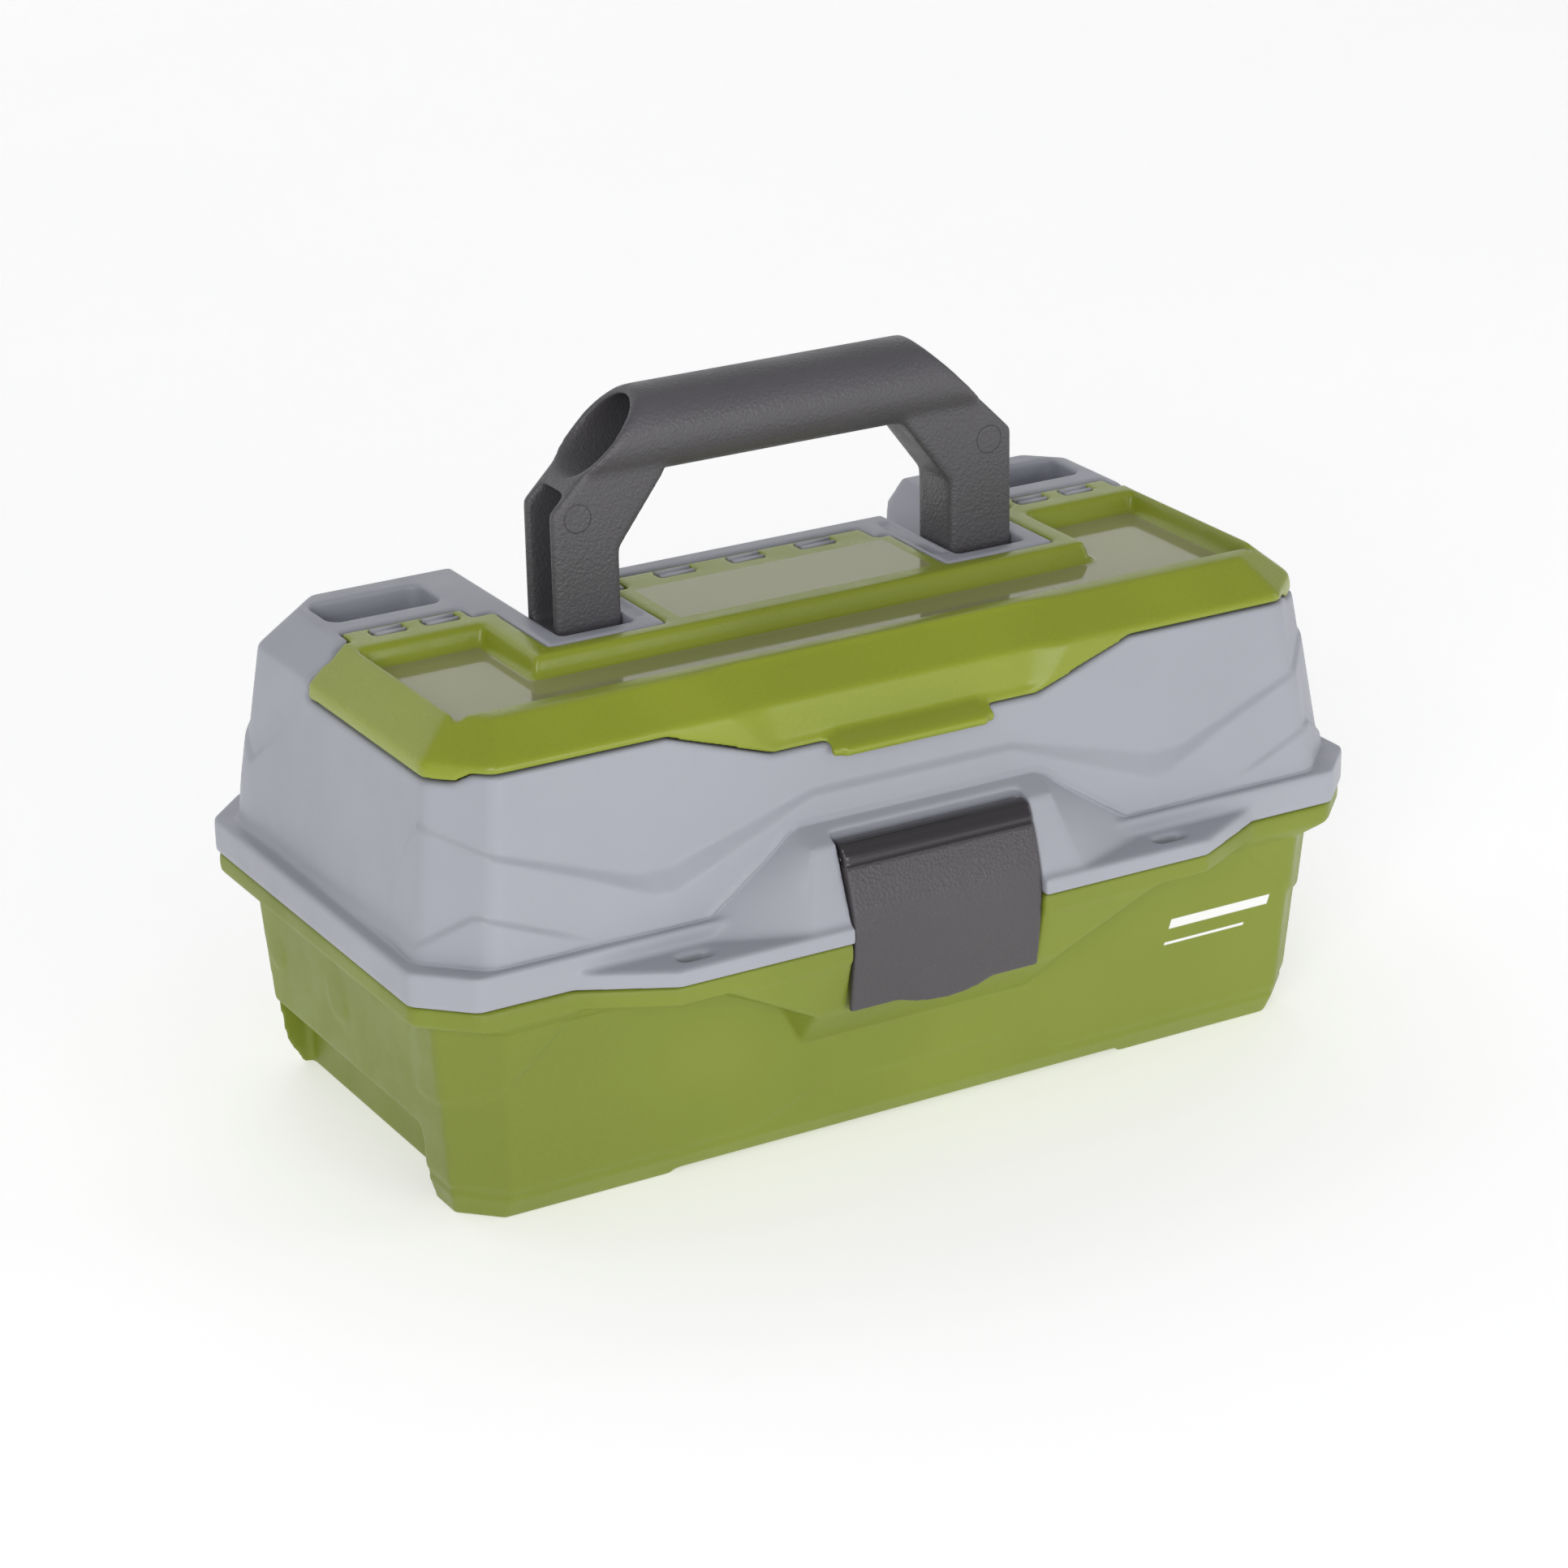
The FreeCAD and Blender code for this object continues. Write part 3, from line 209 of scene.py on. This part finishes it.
def cover_gloss_and_painted_sheen(tree, where):
    """The polished panels: the recess floor and the middle panel, given a painted reflection."""
    split = tree.nodes.new("ShaderNodeSeparateXYZ")
    tree.links.new(where, split.inputs[0])
    x = maths(tree, "ABSOLUTE", split.outputs[0])
    y, z = split.outputs[1], split.outputs[2]
    floor = band(tree, z, *RECESS_FLOOR_Z, 0.0001)
    panel_x = ramp(tree, x, *MIDDLE_PANEL_X, 1.0, 0.0)
    panel_y = band(tree, y, *MIDDLE_PANEL_Y, 0.0003)
    panel = maths(tree, "MULTIPLY", panel_x, panel_y)
    panel = maths(tree, "MULTIPLY", panel, ramp(tree, z, *MIDDLE_PANEL_Z))
    inside = band(tree, y, *RECESS_FLOOR_Y, 0.0002)
    flat = tree.nodes.new("ShaderNodeSeparateXYZ")
    tree.links.new(tree.nodes.new("ShaderNodeTexCoord").outputs["Normal"], flat.inputs[0])
    level = ramp(tree, flat.outputs[2], *LEVEL_NORMAL)
    floor = maths(tree, "MULTIPLY", maths(tree, "MULTIPLY", floor, inside), level)
    return maths(tree, "MAXIMUM", floor, panel)


LATCH_LIP_Z = (0.1058, 0.1061)


def latch_lip(tree, where):
    """The smooth lip along the latch's upper edge."""
    split = tree.nodes.new("ShaderNodeSeparateXYZ")
    tree.links.new(where, split.inputs[0])
    return ramp(tree, split.outputs[2], *LATCH_LIP_Z)


def ring(tree, across, up, middle, height, radius, width):
    """1 on a thin circle."""
    dx = maths(tree, "SUBTRACT", across, middle)
    dz = maths(tree, "SUBTRACT", up, height)
    squared = maths(tree, "ADD", maths(tree, "MULTIPLY", dx, dx), maths(tree, "MULTIPLY", dz, dz))
    return band(tree, maths(tree, "SQRT", squared), radius - width, radius + width, width * 0.6)


LEG_MARK_X = 0.0789
LEG_MARK_Z = 0.2048
LEG_MARK_RADIUS = 0.0048
LEG_MARK_WIDTH = 0.00025


def handle_marks(tree, where):
    """A thin circle on the front of each leg of the handle."""
    split = tree.nodes.new("ShaderNodeSeparateXYZ")
    tree.links.new(where, split.inputs[0])
    x = maths(tree, "ABSOLUTE", split.outputs[0])
    circle = ring(tree, x, split.outputs[2], LEG_MARK_X, LEG_MARK_Z, LEG_MARK_RADIUS, LEG_MARK_WIDTH)
    return maths(tree, "MULTIPLY", circle, ramp(tree, split.outputs[1], -0.0040, -0.0030, 1.0, 0.0))


STRIPES = ((0.1310, 0.0465, 0.0500), (0.1230, 0.0405, 0.0415))  # right end, lower and upper edge
STRIPE_START = 0.0900
STRIPE_BLUR = 0.0002
STRIPE_LEAN = 0.25


def base_stripes(tree, where):
    """Two plain white bars on the right of the base's front."""
    split = tree.nodes.new("ShaderNodeSeparateXYZ")
    tree.links.new(where, split.inputs[0])
    x, y, z = split.outputs
    lean = maths(tree, "SUBTRACT", x, maths(tree, "MULTIPLY", z, STRIPE_LEAN))
    bars = []
    for end, low, high in STRIPES:
        along = band(tree, lean, STRIPE_START, end, STRIPE_BLUR)
        bars.append(maths(tree, "MULTIPLY", along, band(tree, z, low, high, STRIPE_BLUR)))
    both = maths(tree, "MAXIMUM", *bars)
    return maths(tree, "MULTIPLY", both, ramp(tree, y, -0.0780, -0.0770, 1.0, 0.0))


GREY = colour(163, 165, 174)
DARK = colour(82, 80, 84)
LATCH_DARK = colour(76, 72, 76)
BASE_GREEN = colour(122, 134, 38)
COVER_GREEN = colour(142, 154, 40)
STRIPE_WHITE = colour(240, 240, 238)
LEATHER_GRAIN = {"grain": 900.0, "grain_depth": 0.00016, "leather": True, "patches": 0.06, "edge": 0.05}
MATS = {
    "green_base": plastic("green_base", BASE_GREEN, rough=0.46, grain=2600.0,
                          line_mask=base_stripes, line_colour=STRIPE_WHITE),
    # the pale colour on the cover's polished panels is a painted reflection
    "green_cover": plastic("green_cover", COVER_GREEN, rough=0.30, grain=3000.0, grain_depth=0.000012,
                           gloss_and_sheen_mask=cover_gloss_and_painted_sheen, gloss_and_sheen_colour=colour(150, 152, 104)),
    "grey_lid": plastic("grey_lid", GREY, rough=0.43, grain=2600.0, patches=0.04),
    "handle_plastic": plastic("handle_plastic", DARK, rough=0.42, **LEATHER_GRAIN,
                              line_mask=handle_marks, line_colour=colour(58, 56, 59)),
    "latch_plastic": plastic("latch_plastic", LATCH_DARK, rough=0.40, **LEATHER_GRAIN,
                             gloss_and_sheen_mask=latch_lip, gloss_and_sheen_colour=colour(50, 47, 51)),
    "tray_plastic": plastic("tray_plastic", colour(168, 170, 178), rough=0.4, patches=0.05),
    "divider_plastic": plastic("divider_plastic", colour(196, 198, 204), rough=0.38, patches=0.04),
    "arm_steel": metal("arm_steel", (0.62, 0.63, 0.65, 1.0), 0.36),
    "pin_steel": metal("pin_steel", (0.66, 0.67, 0.68, 1.0), 0.28),
}

slots = {row["node"]: row["material_slot"] for row in frame["record"]["subparts"]}
for name, obj in frame["nodes"].items():
    obj.data.materials.clear()
    obj.data.materials.append(MATS[slots[name]])

# ---------------------------------------------------------------- moulded forms

def mesh_copy(names):
    """The meshes of CAD nodes with their seams closed, as one new mesh."""
    mesh = bpy.data.meshes.new(names[0] + "_copy")
    bm = bmesh.new()
    for name in names:
        bm.from_mesh(frame["nodes"][name].data)
    bmesh.ops.remove_doubles(bm, verts=bm.verts, dist=0.00001)
    bm.to_mesh(mesh)
    bm.free()
    return mesh


def run_modifier(mesh, kind, **settings):
    """mesh after one modifier."""
    obj = bpy.data.objects.new("work", mesh)
    scene.collection.objects.link(obj)
    mod = obj.modifiers.new("mod", kind)
    for key, value in settings.items():
        setattr(mod, key, value)
    graph = bpy.context.evaluated_depsgraph_get()
    result = bpy.data.meshes.new_from_object(obj.evaluated_get(graph))
    bpy.data.objects.remove(obj)
    return result


def points_of(mesh):
    co = np.empty(len(mesh.vertices) * 3)
    mesh.vertices.foreach_get("co", co)
    return co.reshape(-1, 3)


def edges_of(mesh):
    ends = np.empty(len(mesh.edges) * 2, dtype=np.int64)
    mesh.edges.foreach_get("vertices", ends)
    return ends.reshape(-1, 2)


def relax(co, ends, rounds, weight):
    """Each point moves towards the middle of its neighbours, by its weight."""
    count = np.bincount(ends.ravel(), minlength=len(co)).clip(1)[:, None]
    w = weight[:, None] * 0.5
    for _ in range(rounds):
        total = np.empty_like(co)
        for k in range(3):
            total[:, k] = np.bincount(ends[:, 0], co[ends[:, 1], k], len(co))
            total[:, k] += np.bincount(ends[:, 1], co[ends[:, 0], k], len(co))
        co = co + w * (total / count - co)
    return co


def straight_step(v, low, high):
    """A flat facet between two levels."""
    return np.clip((v - low) / (high - low), 0.0, 1.0)


def smooth_step(v, low, high):
    t = np.clip((v - low) / (high - low), 0.0, 1.0)
    return t * t * (3.0 - 2.0 * t)


def remould(names, voxel, rounds, weights=None, relief=None, keep=1.0):
    """A soft-edged copy of CAD nodes: remeshed, relaxed, given its relief, thinned."""
    name = names[0]
    mesh = mesh_copy(names)
    mesh = run_modifier(mesh, "REMESH", mode="VOXEL", voxel_size=voxel * MM, use_smooth_shade=True)
    co, ends = points_of(mesh), edges_of(mesh)
    weight = np.ones(len(co)) if weights is None else weights(co / MM)
    co = relax(co, ends, rounds, weight)
    if relief is not None:
        co = relief(co / MM) * MM
        co = relax(co, ends, 2, np.ones(len(co)))
    mesh.vertices.foreach_set("co", co.ravel())
    mesh.update()
    if keep < 1.0:
        mesh = run_modifier(mesh, "DECIMATE", decimate_type="COLLAPSE", ratio=keep)
    for poly in mesh.polygons:
        poly.use_smooth = True
    obj = bpy.data.objects.new(name + "_moulded", mesh)
    scene.collection.objects.link(obj)
    mesh.materials.clear()
    mesh.materials.append(MATS[slots[name]])
    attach(obj, next(b for b, rows in frame["record"]["behaviour"]["bodies"].items() if name in rows))
    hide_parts(*names)
    return obj


def octagon_distance(p, x, front, back, c):
    """How far points lie outside an eight-sided outline, in millimetres."""
    dx = np.abs(p[:, 0]) - x
    dy = np.maximum(p[:, 1] - back, -front - p[:, 1])
    half = np.where(p[:, 1] > 0, back, front)
    dc = (np.abs(p[:, 0]) + np.abs(p[:, 1]) - (x + half - c)) / math.sqrt(2.0)
    return np.maximum(np.maximum(dx, dy), dc)


def stage_sizes(z, stages):
    """x, front, back and chamfer of the leaning walls at height z."""
    heights = [row[0] for row in stages]
    return [np.interp(z, heights, [row[k] for row in stages]) for k in range(1, 5)]


# height, half length, front, back and corner chamfer of the leaning walls, in millimetres
LID_STAGES = ((94.4, 173.0, 87.0, 87.0, 17.0), (157.0, 165.0, 79.5, 80.5, 17.0))
BASE_STAGES = ((10.0, 164.0, 80.5, 80.5, 15.0), (71.0, 168.5, 86.5, 86.5, 17.0))


def wrap(p, x, front, c):
    """Distance round the wall from the front's middle: along the front, round the corner, then back."""
    flat = x - c
    ax = np.abs(p[:, 0])
    corner = c * math.sqrt(2.0)
    along_corner = np.clip((ax - flat + p[:, 1] + front) / math.sqrt(2.0), 0.0, corner)
    along_side = np.maximum(p[:, 1] + front - c, 0.0)
    return np.minimum(ax, flat) + along_corner + along_side


def line(s, points):
    """Height of a crease at distance s, from its corners."""
    xs, zs = zip(*points)
    return np.interp(s, xs, zs)


def push(p, amount, x, front, back, c):
    """Moves points straight out of the wall they are on."""
    ax, y = np.abs(p[:, 0]), p[:, 1]
    half = np.where(y > 0, back, front)
    dx = ax - x
    dy = np.maximum(y - back, -front - y)
    dc = (ax + np.abs(y) - (x + half - c)) / math.sqrt(2.0)
    sharp = 0.5
    e = np.exp(np.clip(np.stack([dx, dy, dc]) / sharp, -40, 40))
    e = e / e.sum(0)
    nx = np.sign(p[:, 0]) * (e[0] + e[2] / math.sqrt(2.0))
    ny = np.sign(y) * (e[1] + e[2] / math.sqrt(2.0))
    size = np.sqrt(nx * nx + ny * ny).clip(0.01)
    q = p.copy()
    q[:, 0] += amount * nx / size
    q[:, 1] += amount * ny / size
    return q


# creases of the lid: distance round the wall, height
VEE_TOP = ((0, 128.0), (38, 128.0), (92, 113.4), (104, 113.6), (156, 131.6), (176, 138.0), (186, 128.0),
           (200, 104.0))
VEE_LOW = ((0, 126.0), (38, 126.0), (90, 106.3), (98, 106.5), (128, 119.5), (156, 130.4), (176, 136.8),
           (186, 126.5), (200, 102.0))
VEE_DEPTH = ((0, 1.7), (38, 1.7), (92, 3.4), (120, 1.9), (156, 1.2), (180, 0.9), (192, 0.4), (200, 0.0))
RIDGE = ((0, 80), (112, 92.0), (124, 98.3), (156, 110.8), (160, 110.8), (182, 99.0), (188, 99.4),
         (232, 96.0), (300, 94))
RIDGE_LIFT = ((0, 0.0), (118, 0.0), (134, 1.2), (240, 1.1), (262, 0.0))
# lower edge of the mark on each end of the lid: y, height
SIDE_MARK_Y = (20.0, 26.3, 60.5, 73.6, 90.0)
SIDE_MARK_Z = (152.0, 146.4, 118.7, 134.5, 150.0)
SIDE_MARK_LIFT = 1.2


def lid_relief(p):
    """The stepped vee panel, the low corner ridge and the marks on the lid's ends."""
    x, front, back, c = stage_sizes(p[:, 2], LID_STAGES)
    out = octagon_distance(p, x, front, back, c)
    on = smooth_step(out, -1.3, -0.5) * (1.0 - smooth_step(out, 0.9, 1.6))
    on *= smooth_step(p[:, 2], 94.0, 95.5) * (1.0 - smooth_step(p[:, 2], 150.0, 152.0))
    s = wrap(p, x, front, c)
    z = p[:, 2]
    near = p[:, 1] < 60.0
    # vee: the step's upper and lower edges
    top = line(s, VEE_TOP)
    low = line(s, VEE_LOW)
    deep = line(s, VEE_DEPTH)
    step = deep * straight_step(-(z - top), 0.0, np.maximum(top - low, 1.3)) * near
    # low ridge beside the front corners
    ridge = line(s, RIDGE)
    lift = line(s, RIDGE_LIFT)
    low_step = lift * smooth_step(-(z - ridge), 0.0, 0.9) * near
    # small vee mark near the rear end of each side
    y = p[:, 1]
    side = np.abs(p[:, 0]) > x - 4.0
    edge = np.interp(y, SIDE_MARK_Y, SIDE_MARK_Z)
    fade = smooth_step(y, 26.0, 60.0) * (1 - smooth_step(y, 84.0, 90.0))
    mark = SIDE_MARK_LIFT * smooth_step(-(z - edge), 0.0, 1.2) * fade
    mark *= 1.0 - smooth_step(-(z - edge), 14.0, 46.0)
    amount = on * np.maximum(step + low_step, mark * side * (y > 20))
    return push(p, amount, x, front, back, c)


# creases of the base: distance round the wall, height
CORNER_EDGE = ((0, 90), (125, 76.0), (135, 65.0), (152, 50.0), (159, 46.0), (178, 41.5), (184, 41.0),
               (400, 41.0))
SKIRT_EDGE = ((0, 22.0), (36, 22.0), (58, 13.0), (64, 12.4), (400, 12.4))
CORNER_LIFT = 1.2
SKIRT_DEPTH = 0.8


def base_relief(p):
    """Raised front corners and the slanted skirt line of the base."""
    x, front, back, c = stage_sizes(p[:, 2], BASE_STAGES)
    out = octagon_distance(p, x, front, back, c)
    on = smooth_step(out, -1.3, -0.5) * (1.0 - smooth_step(out, 0.9, 1.6))
    on *= smooth_step(p[:, 2], 8.0, 10.0) * (1.0 - smooth_step(p[:, 2], 69.5, 71.0))
    s = wrap(p, x, front, c)
    z = p[:, 2]
    corner = smooth_step(z - line(s, CORNER_EDGE), -0.4, 0.5)
    corner = corner * smooth_step(s, 120, 136) * (1.0 - smooth_step(s, 184.0, 196.0))
    skirt = line(s, SKIRT_EDGE)
    foot = smooth_step(-(z - skirt), 0.0, 1.5)
    amount = on * (CORNER_LIFT * corner - SKIRT_DEPTH * foot * (p[:, 1] < 0))
    return push(p, amount, x, front, back, c)


# where the two slanted facets of the cover's front begin and end: heights, then distances from the middle
FACET_INNER = ((142.0, 151.0, 167.5), (47.0, 47.1, 53.0))
FACET_OUTER = ((142.0, 158.0, 168.4), (52.0, 67.0, 71.0))
FRONT_SETBACK = 1.7
PULL_LIP = 1.8
PULL_HALF_WIDTH = 27.0


def cover_relief(p):
    """The middle of the cover's front is set back behind two slanted facets, and the pull tab stands out."""
    x = np.abs(p[:, 0])
    z = p[:, 2]
    front = (p[:, 1] < -62.0)
    side = np.interp(z, *FACET_INNER)
    outer = np.interp(z, *FACET_OUTER)
    dip = 1.0 - smooth_step(x, side, outer)
    depth = FRONT_SETBACK * dip * front * smooth_step(-p[:, 1], 63.0, 68.0)
    depth *= smooth_step(z, 141.0, 146.0)
    pull = (x < PULL_HALF_WIDTH) * front * (1.0 - smooth_step(z, 143.2, 145.2))
    q = p.copy()
    q[:, 1] += depth - PULL_LIP * pull
    return q


THUMB_HALF_WIDTH, THUMB_HEIGHT, THUMB_FOOT = 19.0, 13.5, 54.0
THUMB_FLARE = 2.2
TOP_STEP = 0.7


def latch_relief(p):
    """The middle of the latch's lower edge flares out for the thumb, and its upper edge steps back."""
    near = np.sqrt((p[:, 0] / THUMB_HALF_WIDTH) ** 2 + ((p[:, 2] - THUMB_FOOT) / THUMB_HEIGHT) ** 2)
    flare = THUMB_FLARE * np.clip(1.0 - near, 0.0, 1.0) ** 0.7
    q = p.copy()
    q[:, 1] -= flare
    top = smooth_step(p[:, 2], 105.4, 106.1) * (1.0 - smooth_step(p[:, 1], -99.5, -98.0))
    q[:, 1] += TOP_STEP * top
    return q


HINGE_SLOTS = ((-140.0, -128.9), (-121.2, -109.7), (-34.1, -20.9), (-6.1, 6.1), (20.9, 34.1),
               (109.7, 121.2), (128.9, 140.0))
COVER_BAR_Y = 23.2
LID_BAR_Y = 26.9
BAR_Z = 167.9
BAR_RADIUS = 0.95


def bar(first, last, y, body):
    """A thin round bar along the box, moving with one body."""
    bm = bmesh.new()
    middle = Vector(((first + last) / 2 * MM, y * MM, BAR_Z * MM))
    turn = Matrix.Translation(middle) @ Matrix.Rotation(math.pi / 2, 4, "Y")
    bmesh.ops.create_cone(bm, cap_ends=True, segments=16, radius1=BAR_RADIUS * MM, radius2=BAR_RADIUS * MM,
                          depth=(last - first) * MM, matrix=turn)
    mesh = bpy.data.meshes.new("slot_bar")
    bm.to_mesh(mesh)
    bm.free()
    for poly in mesh.polygons:
        poly.use_smooth = len(poly.vertices) == 4
    obj = bpy.data.objects.new("slot_bar_%d_%d" % (round(first), round(y)), mesh)
    scene.collection.objects.link(obj)
    mesh.materials.append(MATS["grey_lid"])
    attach(obj, body)
    return obj


def cover_weights(p):
    """Soft slopes and crisp hinge tabs."""
    tabs = smooth_step(p[:, 1], 15.0, 19.0)
    return 1.0 - 0.75 * tabs


LID_NODES = ["lid_shell", "lid_front_wall", "lid_end_wall_left", "lid_end_wall_right", "lid_inner_walls",
             "lid_trough_walls", "lid_block_left", "lid_block_right"]
# voxel size in millimetres, rounds of smoothing, share of triangles kept
remould(["carry_handle"], 0.8, 16, keep=0.6)
remould(["top_cover", "cover_skirt"], 0.85, 8, weights=cover_weights, relief=cover_relief)
remould(LID_NODES, 0.85, 4, relief=lid_relief, keep=0.5)
remould(["base_shell"], 1.0, 3, relief=base_relief, keep=0.5)
remould(["front_latch"], 0.5, 3, relief=latch_relief, keep=0.6)

# the wire of the cover's hinge shows as two thin bars in each slot
for first, last in HINGE_SLOTS:
    bar(first, last, COVER_BAR_Y, "cover")
    bar(first, last, LID_BAR_Y, "lid")

# ---------------------------------------------------------------- room and camera

FLOOR_HALF = 6.0
FLOOR_BACK = 2.2
SWEEP_RADIUS = 1.2
SWEEP_STEPS = 14


def add_floor():
    """A white floor that curves up into the wall behind the box."""
    mesh = bpy.data.meshes.new("floor")
    bm = bmesh.new()
    rows = [(-FLOOR_HALF, 0.0), (FLOOR_BACK, 0.0)]
    for i in range(1, SWEEP_STEPS + 1):
        a = math.pi / 2 * i / SWEEP_STEPS
        rows.append((FLOOR_BACK + SWEEP_RADIUS * math.sin(a), SWEEP_RADIUS - SWEEP_RADIUS * math.cos(a)))
    rows.append((FLOOR_BACK + SWEEP_RADIUS, FLOOR_HALF))
    verts = [[bm.verts.new((x, y, z)) for y, z in rows] for x in (-FLOOR_HALF, FLOOR_HALF)]
    for i in range(len(rows) - 1):
        bm.faces.new((verts[0][i], verts[1][i], verts[1][i + 1], verts[0][i + 1]))
    for f in bm.faces:
        f.smooth = True
    bm.to_mesh(mesh)
    bm.free()
    obj = bpy.data.objects.new("floor", mesh)
    scene.collection.objects.link(obj)
    mat, tree, bsdf = new_material("floor_paint")
    where = tree.nodes.new("ShaderNodeTexCoord").outputs["Object"]
    white = mix(tree, noise(tree, where, 3.0), (0.86, 0.86, 0.86, 1), (0.90, 0.90, 0.90, 1))
    tree.links.new(white, bsdf.inputs["Base Color"])
    bsdf.inputs["Roughness"].default_value = 0.7
    bsdf.inputs["Specular IOR Level"].default_value = 0.2
    bsdf.inputs["Emission Color"].default_value = (1.0, 1.0, 1.0, 1.0)
    bsdf.inputs["Emission Strength"].default_value = 0.42
    mesh.materials.append(mat)


def area_light(name, place, aim, size, power):
    data = bpy.data.lights.new(name, "AREA")
    data.shape = "RECTANGLE"
    data.size, data.size_y = size
    data.energy = power
    obj = bpy.data.objects.new(name, data)
    scene.collection.objects.link(obj)
    obj.location = place
    obj.rotation_euler = (Vector(aim) - Vector(place)).to_track_quat("-Z", "Y").to_euler()
    return obj


CAMERA_PLACE = (-0.6991, -1.2295, 0.6591)
CAMERA_YAW, CAMERA_PITCH, CAMERA_ROLL = -29.6, -21.8, -1.1
SENSOR_WIDTH = 36.0
FOCAL_WIDTHS = 5478.4 / 1932.0  # focal length in widths of the frame


def add_camera():
    yaw, pitch, roll = (math.radians(v) for v in (CAMERA_YAW, CAMERA_PITCH, CAMERA_ROLL))
    ahead = Vector((-math.sin(yaw) * math.cos(pitch), math.cos(yaw) * math.cos(pitch), math.sin(pitch)))
    right = Vector((math.cos(yaw), math.sin(yaw), 0.0))
    up = right.cross(ahead)
    right2 = right * math.cos(roll) + up * math.sin(roll)
    up2 = up * math.cos(roll) - right * math.sin(roll)
    data = bpy.data.cameras.new("camera")
    data.sensor_width = SENSOR_WIDTH
    data.lens = FOCAL_WIDTHS * SENSOR_WIDTH
    data.clip_start, data.clip_end = 0.05, 30.0
    obj = bpy.data.objects.new("camera", data)
    scene.collection.objects.link(obj)
    turn = Matrix((right2, up2, -ahead)).transposed().to_4x4()
    obj.matrix_world = Matrix.Translation(Vector(CAMERA_PLACE)) @ turn
    scene.camera = obj


add_floor()
add_camera()
# place, aim, size and power
area_light("key", (-1.6, -1.9, 1.1), (0, 0, 0.1), (1.1, 0.9), 20)
area_light("front", (0.2, -2.4, 0.45), (0, 0, 0.12), (1.8, 0.8), 15)
area_light("fill", (2.0, -0.9, 0.8), (0, 0, 0.1), (1.2, 1.0), 5)
area_light("top", (0.2, 0.9, 2.2), (0, 0, 0.1), (2.2, 1.4), 1.5)
world = bpy.data.worlds.new("world")
world.use_nodes = True
background = world.node_tree.nodes["Background"]
background.inputs["Color"].default_value = (0.98, 0.98, 1.0, 1.0)
background.inputs["Strength"].default_value = 0.34
scene.world = world
scene.view_settings.view_transform = "Standard"
